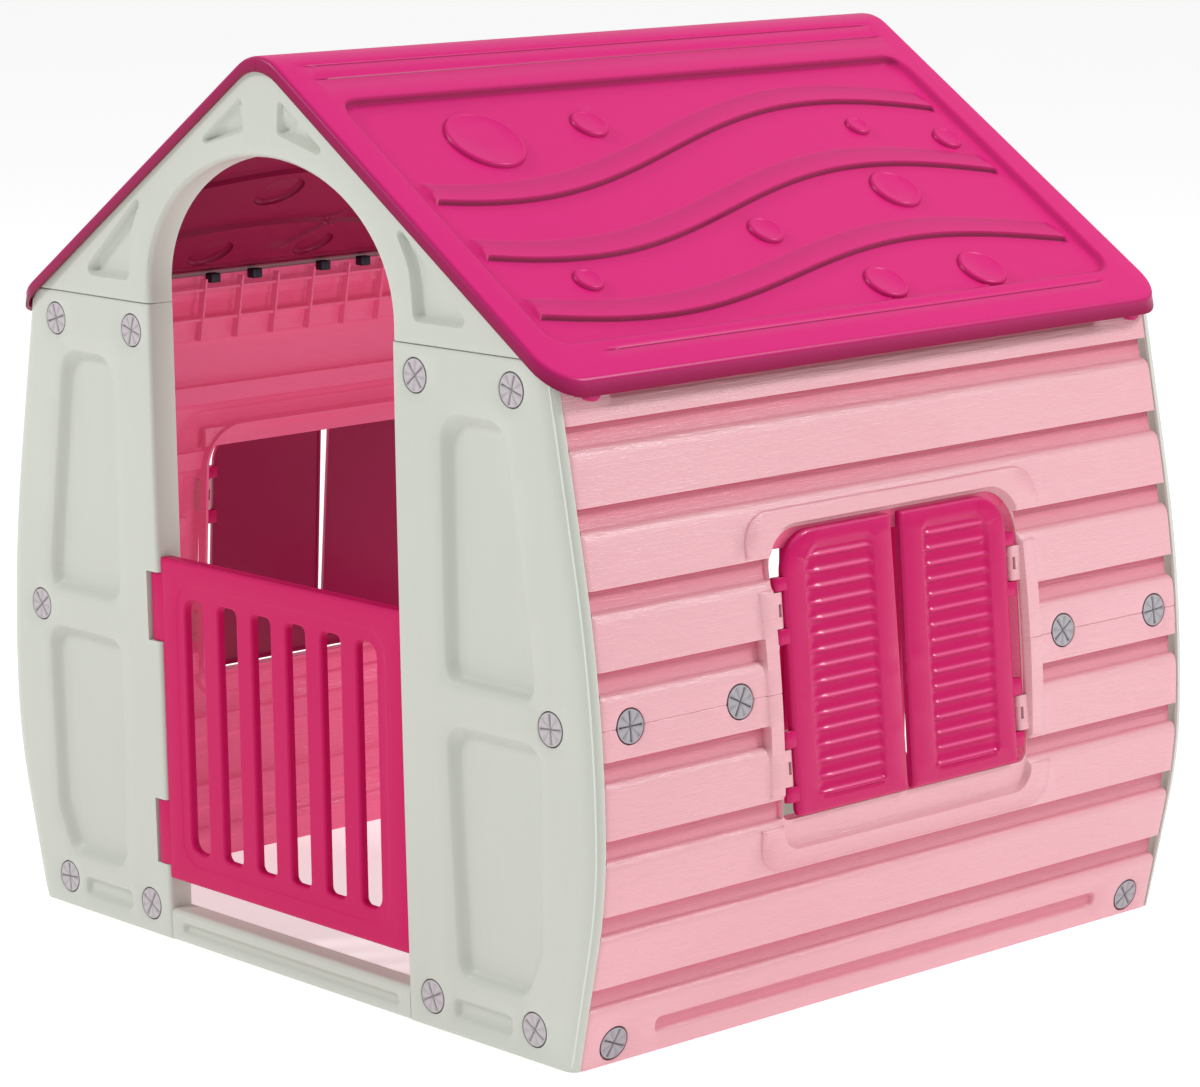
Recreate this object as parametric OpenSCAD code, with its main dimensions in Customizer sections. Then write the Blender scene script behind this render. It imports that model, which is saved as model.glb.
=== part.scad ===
// Plastic playhouse, built from moulded panels. Millimetres, Z up, door side faces -Y, ridge along Y.
// Origin: centre of the footprint, on the ground.

/* [House] */
// Half width of the side walls at their widest point, outside face
wall_half = 505; // [500:1:515]
// Distance from the centre to the front face of the lower front panels
front_y = 446; // [440:1:450]
// Height of the seam between the front panels and the arch piece
seam_z = 714.7; // [712:0.5:716]
// Wall thickness of the mouldings
skin = 4; // [3:0.5:4.5]

/* [Doorway] */
// Half width of the doorway
door_half = 215.6; // [212:0.2:216]
// Height of the top of the round arch
arch_top = 886.5; // [870:0.5:890]
// Height where the arch starts to curve
arch_spring = 733; // [725:1:745]
// Height of the sill bar
sill_h = 36; // [30:1:40]

/* [Roof] */
// Height of the sharp ridge line before it is rounded
ridge_z = 1004; // [1000:1:1006]
// Fall of the roof per millimetre of width
pitch = 0.66; // [0.655:0.001:0.66]
// Radius of the rounded ridge
ridge_r = 61.7; // [55:0.1:65]
// Half depth of the roof, front rim to centre
roof_y = 452; // [452:1:458]
// Half width of the roof, eave to centre
roof_x = 466; // [464:1:472]
// Height of the turned-down rim
rim_h = 16; // [14:1:18]

/* [Planks] */
// Depth of the grooves between the planks
groove_d = 10; // [8:0.5:10]
// Spacing of the planks
plank_p = 79.7; // [79:0.1:80.2]

/* [Shutters] */
// Lean of the shutters from upright, degrees
lean = 4.75; // [4.5:0.05:4.8]
// Louvres on each shutter
louvres = 16; // [12:1:16]

/* [Hidden] */
$fn = 48;
mid_z = 355;
wall_y = 432;
bulge_z = 245;
arch_y = front_y + 2;
win_half = 184;
back_in = 15.3;
win_lo = 219;
win_hi = 520;
head_r = 18;
well_r = 18.6;
seat_r = 22.4;
shank_r = 8;
// screws through the seam of each side wall, and where the corner screws sit and lean
seam_screw_y = [-393, -243, 243, 393];
corner_z = 22;
corner_y = 390;
corner_tilt = 90 + 12.95;
hinge_x = -220.5;
hinge_y = -437;
door_x0 = -208.5;
sh_x = wall_half - 15.5;
sh_z = 368;
sh_y = 175;
tabs = [[-130.5, -113.9], [-74.4, -56], [33, 49.3], [88.2, 102.5]];
lugs = [[-113.4, -74.9], [49.8, 87.7]];
RED = [0.79, 0.13, 0.38];
PINK = [0.92, 0.72, 0.74];
GREY = [0.81, 0.82, 0.79];
ROOF = [0.86, 0.19, 0.5];

// outline of the side wall: distance from the centre at height z
function drop_up(d) = d < 270 ? 0.000355 * d * d : 25.88 + 0.1917 * (d - 270);
function drop_dn(d) = d < 115 ? 0.001 * d * d : 13.22 + 0.23 * (d - 115);
function wx(z) = wall_half - (z > bulge_z ? drop_up(z - bulge_z) : drop_dn(bulge_z - z));
// top surface of the roof at distance x from the ridge
half_ang = atan(pitch);
ridge_c = ridge_z - ridge_r / cos(half_ang);
function roof_z(x) = x < ridge_r * sin(half_ang)
    ? ridge_c + sqrt(ridge_r * ridge_r - x * x)
    : ridge_z - pitch * x;
// grooves of the wall, low edge of each
glow = [for (k = [0:3]) 61 + (plank_p - 0.9) * k];
ghigh = [for (k = [0:3]) 385 + plank_p * k];

// polygon with rounded corners
function unit(v) = v / norm(v);
function turn(a, b, c, r, n) = let(u = unit(a - b), v = unit(c - b), h = acos(u * v) / 2,
    o = b + unit(u + v) * r / sin(h), p = b + u * r / tan(h) - o, q = b + v * r / tan(h) - o,
    s = atan2(p[1], p[0]), e = (atan2(q[1], q[0]) - s + 540) % 360 - 180)
    [for (i = [0:n]) o + r * [cos(s + e * i / n), sin(s + e * i / n)]];
function rounded(p, r, n = 4) = [for (i = [0:len(p) - 1])
    each turn(p[(i + len(p) - 1) % len(p)], p[i], p[(i + 1) % len(p)], r[i], n)];
function rect(x0, z0, x1, z1) = [[x0, z0], [x1, z0], [x1, z1], [x0, z1]];

module along_y(y0, y1) {
    translate([0, y1, 0]) rotate([90, 0, 0]) linear_extrude(height = y1 - y0) children();
}
module along_x(x0, x1) {
    translate([x0, 0, 0]) rotate([90, 0, 90]) linear_extrude(height = x1 - x0) children();
}

module flip_x(s) {
    if (s < 0) mirror([1, 0, 0]) children();
    else children();
}
module flip_y(s) {
    if (s < 0) mirror([0, 1, 0]) children();
    else children();
}

// ---- lower panels of front and back: right hand one, front face at -front_y
module panel_outline(inset, edge) {
    intersection() {
        polygon(concat([[door_half + inset, inset > 0 ? inset : 0]],
            [for (z = [0:35:714]) [wx(z) - edge, z + (z == 0 && inset > 0 ? inset : 0)]],
            [[wx(seam_z) - edge, seam_z], [door_half + inset, seam_z]]));
        polygon([[0, -1], [600, -1], [600, ridge_z - 7 - pitch * 600], [0, ridge_z - 7]]);
    }
}
up_field = [[279, 371], [416, 371], [419, 400], [380, 652], [279, 652]];
up_round = [26, 16, 20, 32, 32];
lo_field = [[288, 63], [398, 63], [424, 118], [427, 332], [278, 332]];
lo_round = [24, 26, 40, 26, 26];
module fields(grow) {
    offset(delta = grow) polygon(rounded(up_field, up_round));
    offset(delta = grow) polygon(rounded(lo_field, lo_round));
    polygon(rounded(rect(281 - grow, 18 - grow, 374 + grow, 42 + grow), [8, 8, 8, 8], 3));
}
panel_holes = [[389, 683], [243, 683], [439, 350], [406, 34], [246.5, 34]];
module at_holes(list) {
    for (h = list) translate([h[0], 0, h[1]]) rotate([90, 0, 0]) children();
}
module panel() {
    difference() {
        union() {
            difference() {
                union() {
                    along_y(-front_y, -439) panel_outline(0, 8);
                    along_y(-439.5, -wall_y) panel_outline(0, 0.5);
                    along_y(-wall_y - 0.5, -416) panel_outline(0, back_in);
                    along_y(-416.5, -372) difference() {
                        panel_outline(0, back_in);
                        panel_outline(skin, back_in + skin);
                        translate([0, -10]) square([400, 1000]);
                    }
                }
                along_y(-front_y + skin, -434) difference() {
                    panel_outline(skin, back_in + skin);
                    fields(3);
                }
                along_y(-434.01, -371) panel_outline(skin, back_in + skin);
                // open top, where the arch piece's feet go in
                translate([door_half + skin, -434.2, 650]) cube([186, 30, 80]);
                // sill ends pass behind the face
                translate([door_half - 1, -front_y - 1, -1]) cube([skin + 1.6, 50, sill_h + 2]);
                translate([door_half - 1, -434.5, -1]) cube([skin + 1.6, 6, 65]);
            }
            // seats of the screws
            intersection() {
                translate([0, -front_y, 0]) at_holes(panel_holes)
                    translate([0, 0, -12]) cylinder(r = seat_r, h = 12);
                along_y(-front_y, -434) panel_outline(0, 8);
            }
            translate([440, -424, 340]) cube([42, 30, 20]);
        }
        along_y(-front_y - 1, -438) fields(0);
        translate([0, -front_y, 0]) at_holes(panel_holes) {
            translate([0, 0, -6]) cylinder(r = well_r, h = 8);
            translate([0, 0, -32]) cylinder(r = shank_r + 0.3, h = 40);
        }
        side_holes();
    }
}
// screw holes through the side returns of the panels, along X
module side_holes() {
    translate([430, -393, mid_z]) rotate([0, 90, 0]) cylinder(r = shank_r + 0.3, h = 80);
    translate([wx(corner_z), -corner_y, corner_z]) rotate([0, corner_tilt, 0])
        translate([0, 0, -40]) cylinder(r = shank_r + 0.3, h = 50);
}
// hinge post on the jamb, with a pocket for each knuckle of the door
module hinge_post() {
    difference() {
        translate([-236, -front_y, 66]) cube([236 - door_half, front_y - 416, 376]);
        hinge_cut();
    }
}
module hinge_cut() {
    for (z = [[86, 160], [340, 418]])
        translate([-230.5, -front_y - 1, z[0]]) cube([21.5, front_y - 427, z[1] - z[0]]);
    translate([hinge_x, hinge_y, 74]) cylinder(r = 3.02, h = 360, $fn = 24);
}
module front_left_panel() color(GREY) {
    difference() {
        mirror([1, 0, 0]) panel();
        hinge_cut();
        translate([-236, -442, 66]) cube([236 - door_half - 0.01, 26, 376]);
    }
    hinge_post();
}
module front_right_panel() color(GREY) {
    panel();
    translate([208, -428.5, 380]) cube([8, 4.5, 30]);
}
module back_left_panel() color(GREY) rotate([0, 0, 180]) panel();
module back_right_panel() color(GREY) mirror([0, 1, 0]) panel();

// ---- arch piece
function arch_pts(grow) = [for (a = [0:7.5:180])
    [(door_half + grow) * cos(a), arch_spring + (arch_top - arch_spring + grow) * sin(a)]];
function eave_x(drop) = (ridge_z - drop - seam_z) / pitch;
module gable(drop, grow) {
    polygon(concat([[-door_half - grow, seam_z]], [[-eave_x(drop), seam_z]],
        [for (x = [-400:100:-100]) [x, roof_z(-x) - drop]],
        [for (x = [-34:8.5:34]) [x, roof_z(abs(x)) - drop]],
        [for (x = [100:100:400]) [x, roof_z(x) - drop]],
        [[eave_x(drop), seam_z], [door_half + grow, seam_z]], arch_pts(grow)));
}
small_tri = [[28, 912], [122, 888], [31, 950]];
large_tri = [[243, 737], [336, 737], [207, 845], [238, 790]];
module triangles(grow) {
    for (s = [1, -1]) flip_x(s) {
        offset(delta = grow) polygon(rounded(small_tri, [6, 5, 4], 3));
        offset(delta = grow) polygon(rounded(large_tri, [10, 8, 5, 60], 3));
    }
}
arch_holes = [[389, 683], [243, 683], [-243, 683], [-389, 683]];
foot = [[222, 655], [405, 655], [405, 722], [372, 742], [222, 742]];
module arch() {
    difference() {
        union() {
            along_y(-arch_y, -416) gable(7, 0);
            // feet that go down behind the panels
            for (s = [1, -1]) along_y(-433.5, -429.5) flip_x(s) polygon(foot);
        }
        along_y(-arch_y + skin, -433.5) difference() {
            gable(12, skin);
            triangles(3);
        }
        along_y(-429.5, -415) gable(12, skin);
        along_y(-433.6, -429.4) difference() {
            gable(12, skin);
            for (s = [1, -1]) flip_x(s) polygon(foot);
            triangles(3);
        }
        along_y(-arch_y - 1, -440) triangles(0);
        at_holes(arch_holes) translate([0, 0, 420]) cylinder(r = shank_r + 0.3, h = 20);
    }
}
module front_arch() color(GREY) arch();
module back_arch() color(GREY) mirror([0, 1, 0]) arch();

// ---- sill bar with ends that go behind the panels
module sill() {
    difference() {
        union() {
            translate([-door_half - 1, -front_y + 2, 0]) cube([2 * door_half + 2, front_y - 418, sill_h]);
            translate([-425, -433.5, skin + 0.5]) cube([850, 4, 58]);
        }
        translate([-door_half + 4, -front_y + 6, skin]) cube([2 * door_half - 8, 6.5, sill_h - 2 * skin]);
        translate([-door_half + 4, -429.5, skin]) cube([2 * door_half - 8, 20, sill_h - 2 * skin]);
        translate([-door_half, -440, sill_h]) cube([2 * door_half, 20, 40]);
        along_y(-front_y, -front_y + 4.5) polygon(rounded(rect(-190, 10, 190, 24), [6, 6, 6, 6], 3));
        at_holes([[406, 34], [246.5, 34], [-246.5, 34], [-406, 34]])
            translate([0, 0, 420]) cylinder(r = shank_r + 0.3, h = 20);
    }
}
module front_sill() color(GREY) sill();
module back_sill() color(GREY) mirror([0, 1, 0]) sill();
module back_infill() color(RED) {
    difference() {
        translate([-door_half, 430, 40]) cube([2 * door_half, 14, 394]);
        translate([-211, 429, 44]) cube([422, 10, 386]);
        for (i = [0:5]) along_y(442, 446)
            polygon(rounded(rect(-165.5 + 59.8 * i, 109, -133.5 + 59.8 * i, 394), [14, 14, 14, 14], 3));
    }
}

// ---- side walls, right hand one
function face(z0, z1, g, off, e) = concat([[wx(z0) - off, z0]],
    [for (k = g) each [[wx(k - 4) - off, k - 4 - e], [wx(k) - groove_d - off, k + 1 - e],
        [wx(k + 26) - groove_d - off, k + 25.5 + e], [wx(k + 27) - off, k + 27 + e]]],
    [[wx(z1) - off, z1]]);
function back_to_front(p) = [for (i = [len(p) - 1:-1:0]) p[i]];
module wall_section(z0, z1, g) {
    polygon(concat(face(z0, z1, g, 0, 0), back_to_front(face(z0, z1, g, skin, skin - 0.5))));
}
function smooth(z0, z1, off) = [for (i = [0:8]) let(z = z0 + (z1 - z0) * i / 8) [wx(z) - off, z]];
module band(z0, z1, a, b) {
    polygon(concat(smooth(z0, z1, a), back_to_front(smooth(z0, z1, b))));
}
module window_hole(grow, z0 = 0) {
    along_x(380, 560) polygon(rounded(rect(-win_half - grow, win_lo - grow, win_half + grow, win_hi + grow),
        [14 + grow, 14 + grow, 36 + grow, 36 + grow], 5));
}
module wall_trim(z0, z1) {
    difference() {
        intersection() {
            union() {
                along_y(-222, 222) band(z0, z1, -1, 4);
                along_y(-190, 190) band(z0, z1, 3.5, 22);
            }
            along_x(380, 560) polygon(rounded(rect(-218, 169, 218, 539), [30, 30, 34, 34], 5));
        }
        difference() {
            along_y(-230, 230) band(0, 700, 4.01, 60);
            window_hole(3.5);
        }
        window_hole(0);
    }
}
module wall_ribs(z0, z1) {
    // none below the window
    for (i = [-6:6]) if (z0 > 600 || abs(i) > 3)
        translate([0, i * 53 - 1.5, 0]) along_y(0, 3) band(z0, z1, 14.2, 24);
}
module wall_cuts() {
    window_hole(0);
    for (y = seam_screw_y) translate([460, y, mid_z]) rotate([0, 90, 0]) cylinder(r = well_r, h = 60);
}
module lug(z) {
    difference() {
        union() {
            translate([-5.5, 0, z[0]]) cube([11, win_half - sh_y + 3, z[1] - z[0]]);
            translate([0, 0, z[0]]) cylinder(r = 5.5, h = z[1] - z[0]);
        }
        translate([0, 0, z[0] - 1]) cylinder(r = 2.52, h = z[1] - z[0] + 2, $fn = 24);
        translate([2, -2.5, (z[0] + z[1]) / 2 - 5]) cube([8, 3, 10]);
    }
}
module leaning() {
    translate([sh_x, 0, sh_z]) rotate([0, -lean, 0]) children();
}
module lugs_at(i) {
    leaning() for (s = [1, -1]) flip_y(s) translate([0, sh_y, 0]) lug(lugs[i]);
}
module wall_upper() {
    difference() {
        union() {
            along_y(-wall_y, wall_y) wall_section(mid_z + 0.15, 704, ghigh);
            wall_trim(mid_z + 0.15, 539);
        }
        wall_cuts();
        for (y = [-400, 400]) translate([430, y, 684]) rotate([0, 90, 0]) cylinder(r = 4.2, h = 20);
    }
    wall_ribs(626, 702);
    lugs_at(1);
}
module wall_lower() {
    difference() {
        union() {
            along_y(-wall_y, wall_y) wall_section(0, mid_z - 0.15, glow);
            wall_trim(169, mid_z - 0.15);
            // tongue behind the upper half, seat of the screws
            for (s = [1, -1]) flip_y(s) {
                along_y(-424, -win_half - 6) band(330, 376, skin + 0.4, skin + 4.2);
                along_y(-424, -win_half - 6) band(330, 350, skin - 1, skin + 1);
            }
            corner_seats(seat_r, -9, -2);
            along_y(-wall_y, wall_y) band(0, 4, 0, 14);
        }
        window_hole(0);
        for (y = seam_screw_y) {
            translate([wx(mid_z) - skin - 0.4, y, mid_z]) rotate([0, 90, 0]) cylinder(r = well_r, h = 60);
            translate([440, y, mid_z]) rotate([0, 90, 0]) cylinder(r = shank_r + 0.3, h = 80);
        }
        corner_seats(well_r, -5, 8);
        corner_seats(shank_r + 0.3, -30, 8);
        along_x(wx(28) - 3, 560) polygon(rounded(rect(-336, 20, 336, 38), [8, 8, 8, 8], 3));
    }
    along_y(-340, 340) band(14, 44, 3.5, 7);
    wall_ribs(40, 330);
    lugs_at(0);
}
module corner_seats(r, h0, h1) {
    for (y = [-corner_y, corner_y]) translate([wx(corner_z), y, corner_z]) rotate([0, corner_tilt, 0])
        translate([0, 0, h0]) cylinder(r = r, h = h1 - h0);
}
module right_wall_upper() color(PINK) wall_upper();
module right_wall_lower() color(PINK) wall_lower();
module left_wall_upper() color(PINK) rotate([0, 0, 180]) wall_upper();
module left_wall_lower() color(PINK) rotate([0, 0, 180]) wall_lower();

// ---- roof, right half
module roof_band(x0, x1, a, b) {
    n = 6;
    t = ridge_r * sin(half_ang);
    xs = x0 < t ? concat([for (i = [0:n]) x0 + (t - x0) * i / n], [x1]) : [x0, x1];
    polygon(concat([for (x = xs) [x, roof_z(x) - a]],
        [for (i = [len(xs) - 1:-1:0]) [xs[i], roof_z(xs[i]) - b]]));
}
module plan(x0, x1, y, r, z0 = 640, z1 = 1010) {
    translate([0, 0, z0]) linear_extrude(height = z1 - z0)
        polygon(rounded([[x0, -y], [x1, -y], [x1, y], [x0, y]], [0.5, r, r, 0.5], 6));
}
// frame of the roof slope: x runs down the slope from the sharp ridge line, z is out of it
module slope() {
    translate([0, 0, ridge_z]) rotate([0, half_ang, 0]) children();
}
// centre line of each wavy step, distance down the slope at depth y
wave_mid = [221.5, 327, 439.5];
wave_size = [56.5, 48, 34.5];
wave_length = [1020, 940, 850];
function wave(k, y) = wave_mid[k] - wave_size[k] * sin((y + 35 - 5 * k) * 360 / wave_length[k]);
module wave_strip(k, low, high) {
    linear_extrude(height = 4.5) polygon(concat(
        [for (y = [-411:30:399]) [wave(k, y) - low, y]], [[wave(k, 411) - low, 411]],
        [[wave(k, 411) + high, 411]], [for (y = [399:-30:-411]) [wave(k, y) + high, y]]));
}
discs = [[-266, 179, 46], [-112, 168, 22], [-12, 367, 21], [-296, 409, 17], [258, 213, 15],
    [372, 249, 18], [222, 325, 31], [82, 470, 26], [233, 468, 29]];
module roof_half() {
    difference() {
        union() {
            difference() {
                intersection() {
                    along_y(-roof_y, roof_y) roof_band(0.1, roof_x, 0, rim_h);
                    plan(0, roof_x, roof_y, 40);
                }
                intersection() {
                    along_y(-roof_y - 1, roof_y + 1) roof_band(0, roof_x + 1, skin * 1.2, rim_h + 2);
                    plan(-1, roof_x - skin, roof_y - skin, 36);
                }
            }
            // underside of the sunk field
            slope() translate([0, 0, -9]) linear_extrude(height = 5.5)
                polygon(rounded(rect(100, -413, 492, 413), [28, 28, 28, 28], 5));
        }
        slope() translate([0, 0, -5]) linear_extrude(height = 10)
            polygon(rounded(rect(103, -410, 489, 410), [25, 25, 25, 25], 5));
        slope() for (x = [42, 65]) translate([x - 1, -412, -1.2]) cube([2, 824, 4]);
        slope() translate([518, -364, -1.2]) cube([2.4, 745, 4]);
    }
    slope() translate([0, 0, -5.5]) for (k = [0:2]) intersection() {
        wave_strip(k, 26, 0);
        translate([103.5, -409, 0]) cube([385, 818, 6]);
    }
    slope() for (d = discs) translate([d[1], d[0], -5.5]) cylinder(r = d[2], h = 7);
    // hooks under the other half
    for (y = [70, 210, 350]) {
        translate([-22, y - 25, 976.5]) cube([28, 50, 4]);
        translate([1, y - 25, 976.5]) cube([5, 50, 11]);
    }
}
module roof_right() color(ROOF) roof_half();
module roof_left() color(ROOF) rotate([0, 0, 180]) roof_half();
clip_y = [-193.5, -132.5, -30.5, 30.5, 132.5, 193.5];
module roof_clips() color([0.09, 0.09, 0.16]) for (s = [0, 180]) rotate([0, 0, s])
    for (y = clip_y) translate([425.7, y - 7, 696]) cube([13, 14, 11]);
module eave_pegs() color(ROOF) for (s = [1, -1]) for (t = [1, -1])
    translate([0, 400 * t, 684]) rotate([0, 90 * s, 0]) {
        translate([0, 0, 449.5]) cylinder(r = 10, h = 12.4);
        translate([0, 0, 436]) cylinder(r = 4, h = 14);
    }

// ---- screws: flat head with a cross, shank behind it
module screw(head, len) {
    difference() {
        union() {
            translate([0, 0, -head]) cylinder(r = head_r, h = head);
            translate([0, 0, -len]) cylinder(r = shank_r, h = len - 0.5);
        }
        for (a = [0, 90]) rotate([0, 0, a]) translate([-14, -1.2, -1.2]) cube([28, 2.4, 3]);
    }
}
module face_screws() {
    for (s = [1, -1]) for (h = panel_holes)
        translate([s * h[0], -front_y, h[1]]) rotate([90, 0, 0]) screw(6, 27);
}
module wall_screws() {
    for (y = seam_screw_y) translate([wx(mid_z), y, mid_z]) rotate([0, 90, 0]) screw(4.3, 24);
    for (y = [-corner_y, corner_y])
        translate([wx(corner_z), y, corner_z]) rotate([0, corner_tilt, 0]) screw(5, 24);
}
BOLT = [0.72, 0.7, 0.72];
module front_screws() color(BOLT) face_screws();
module back_screws() color(BOLT) mirror([0, 1, 0]) face_screws();
module right_wall_screws() color(BOLT) wall_screws();
module left_wall_screws() color(BOLT) rotate([0, 0, 180]) wall_screws();

// ---- half door
module slot(i, grow) {
    x = -149.5 + 59.8 * i;
    a = i == 0 ? 15 : 8;
    b = i == 5 ? 15 : 8;
    polygon(rounded(rect(x - 16 - grow, 109 - grow, x + 16 + grow, 394 + grow), [a, b, b, a], 4));
}
// a hollow-backed slab of the door, from x0 to x1 and z0 to z1, less the slots
module slab(x0, z0, x1, z1, edge = 4) {
    difference() {
        translate([x0, -444, z0]) cube([x1 - x0, 14, z1 - z0]);
        along_y(-440, -429) difference() {
            polygon(rect(x0 + edge, z0 + edge, x1 - edge, z1 - edge));
            for (i = [0:5]) slot(i, 3);
        }
        for (i = [0:5]) along_y(-445, -429) slot(i, 0);
    }
}
door_z = [71, 435.5];
slab_z = [119, 384];
side_x = 165.5;
module door() color(RED) difference() {
    union() {
        slab(door_x0, door_z[0], -side_x, door_z[1]);
        for (z = [[86.5, 159.5], [340.5, 417.5]]) {
            translate([hinge_x, hinge_y, z[0]]) cylinder(r = 7, h = z[1] - z[0]);
            translate([hinge_x, hinge_y - 6, z[0]]) cube([20, 12, z[1] - z[0]]);
        }
    }
    translate([hinge_x, hinge_y, 74]) cylinder(r = 3.05, h = 360, $fn = 24);
}
module door_stile() color(RED) slab(side_x, door_z[0], 212.5, door_z[1]);
module door_rails() color(RED) {
    slab(-side_x, door_z[0], side_x, slab_z[0]);
    slab(-side_x, slab_z[1], side_x, door_z[1]);
}
module door_bars() color(RED)
    for (i = [0:4]) slab(-133.5 + 59.8 * i, slab_z[0], -105.7 + 59.8 * i, slab_z[1], 3);
module door_hinge_pins() color([0.75, 0.75, 0.76]) for (z = [[77, 170], [331, 428]])
    translate([hinge_x, hinge_y, z[0]]) cylinder(r = 3, h = z[1] - z[0], $fn = 24);

// ---- shutters, in the leaning frame: x outwards, y along the wall, z up, axis at sh_y
module leaf(s) {
    leaning() flip_y(s) {
        difference() {
            union() {
                difference() {
                    along_x(-6, 6) polygon(rounded(rect(3, -147, 167, 147), [2, 14, 42, 2], 5));
                    along_x(-7, 0) polygon(rounded(rect(6.5, -143.5, 163.5, 143.5), [2, 10, 38, 2], 5));
                    along_x(3, 7) polygon(rounded(rect(35, -133, 140, 132), [14, 14, 26, 14], 4));
                }
                for (t = tabs) {
                    translate([0, sh_y, t[0]]) cylinder(r = 5.5, h = t[1] - t[0]);
                    translate([-5, 160, t[0]]) cube([10, 15, t[1] - t[0]]);
                }
            }
            for (t = tabs) translate([0, sh_y, t[0] - 1]) cylinder(r = 2.55, h = t[1] - t[0] + 2, $fn = 24);
        }
        for (i = [0:louvres - 1]) translate([2.5, 40, -125 + i * 252 / louvres]) cube([2.6, 95, 8]);
    }
}
module right_front_shutter() color(RED) leaf(-1);
module right_back_shutter() color(RED) leaf(1);
module left_front_shutter() color(RED) rotate([0, 0, 180]) leaf(1);
module left_back_shutter() color(RED) rotate([0, 0, 180]) leaf(-1);
module shutter_pins() {
    leaning() for (s = [1, -1]) for (z = [[-130, -56.5], [33.5, 102]])
        translate([0, s * sh_y, z[0]]) cylinder(r = 2.5, h = z[1] - z[0], $fn = 24);
}
module right_shutter_pins() color([0.75, 0.75, 0.76]) shutter_pins();
module left_shutter_pins() color([0.75, 0.75, 0.76]) rotate([0, 0, 180]) shutter_pins();

front_left_panel();
front_right_panel();
front_arch();
front_sill();
back_left_panel();
back_right_panel();
back_arch();
back_sill();
back_infill();
right_wall_upper();
right_wall_lower();
left_wall_upper();
left_wall_lower();
roof_right();
roof_left();
roof_clips();
eave_pegs();
front_screws();
back_screws();
right_wall_screws();
left_wall_screws();
door();
door_stile();
door_rails();
door_bars();
door_hinge_pins();
right_front_shutter();
right_back_shutter();
left_front_shutter();
left_back_shutter();
right_shutter_pins();
left_shutter_pins();
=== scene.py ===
import math

import bmesh
import bpy
import numpy as np
from mathutils import Matrix, Vector
from mathutils.geometry import delaunay_2d_cdt


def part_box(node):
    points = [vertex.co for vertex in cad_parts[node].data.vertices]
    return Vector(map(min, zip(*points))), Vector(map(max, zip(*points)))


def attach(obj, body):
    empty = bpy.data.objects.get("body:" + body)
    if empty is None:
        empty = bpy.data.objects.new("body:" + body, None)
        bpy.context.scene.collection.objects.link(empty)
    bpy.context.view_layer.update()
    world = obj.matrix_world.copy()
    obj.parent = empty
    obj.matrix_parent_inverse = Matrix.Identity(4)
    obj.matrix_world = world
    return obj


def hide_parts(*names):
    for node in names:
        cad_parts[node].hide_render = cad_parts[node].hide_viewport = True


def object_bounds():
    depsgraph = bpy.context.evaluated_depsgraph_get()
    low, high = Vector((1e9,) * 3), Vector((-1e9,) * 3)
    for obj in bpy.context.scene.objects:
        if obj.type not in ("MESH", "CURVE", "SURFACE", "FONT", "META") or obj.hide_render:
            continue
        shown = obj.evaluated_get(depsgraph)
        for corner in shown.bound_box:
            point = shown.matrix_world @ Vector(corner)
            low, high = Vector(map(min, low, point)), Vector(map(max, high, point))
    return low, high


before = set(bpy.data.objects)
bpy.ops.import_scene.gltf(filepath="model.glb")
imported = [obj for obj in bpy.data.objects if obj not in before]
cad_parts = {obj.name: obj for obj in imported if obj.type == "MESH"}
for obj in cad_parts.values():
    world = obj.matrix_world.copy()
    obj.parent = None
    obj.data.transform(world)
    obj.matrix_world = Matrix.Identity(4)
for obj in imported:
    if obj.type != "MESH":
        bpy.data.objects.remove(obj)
cad_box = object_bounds()
MM = 0.001

# ---- sizes, in millimetres, the first ones read from the parts in model.glb
panel_lo, panel_hi = [[c / MM for c in corner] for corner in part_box("front_right_panel")]
eave_x, roof_half_depth, ridge_top = [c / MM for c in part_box("roof_right")[1]]
door_half = panel_lo[0]
seam_z = panel_hi[2]

SKIN = 4
SEAM_GAP = 0.4
WELL_R = 18.8
RETURN_Y = 416.0
MID_Z = 355.0
WALL_Y = 432.0
PITCH = 0.66
RIDGE_R = 61.7
RIDGE_Z = ridge_top + RIDGE_R / math.cos(math.atan(PITCH)) - RIDGE_R
SLOPE = math.atan(PITCH)
LEAN = math.radians(4.75)
HINGE_X, HINGE_Y = -220.5, -437.0
SHUTTER_X, SHUTTER_Y, SHUTTER_Z = 489.5, 175.0, 368.0


def wall_x(z):
    """Outside of the side wall at height z."""
    z = np.asarray(z, float)
    up, dn = z - 245, 245 - z
    high = np.where(up < 270, 0.000355 * up * up, 25.88 + 0.1917 * (up - 270))
    low = np.where(dn < 115, 0.001 * dn * dn, 13.22 + 0.23 * (dn - 115))
    return 505 - np.where(z > 245, high, low)


def roof_z(x):
    """Top of the roof at distance x from the ridge."""
    x = np.abs(np.asarray(x, float))
    arc = RIDGE_Z - RIDGE_R / math.cos(SLOPE) + np.sqrt(np.maximum(RIDGE_R**2 - x * x, 1))
    return np.where(x < RIDGE_R * math.sin(SLOPE), arc, RIDGE_Z - PITCH * x)


def face_y(x, z):
    """How far the gently bowed front stands from the centre."""
    x, z = np.abs(x) * MM, z * MM
    bow = 440 + 47.9 * z - 36.2 * z * z - (9.2 + 79.6 * z) * x * x
    return 445.5 + 0.35 * (bow - 445.5)


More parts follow.
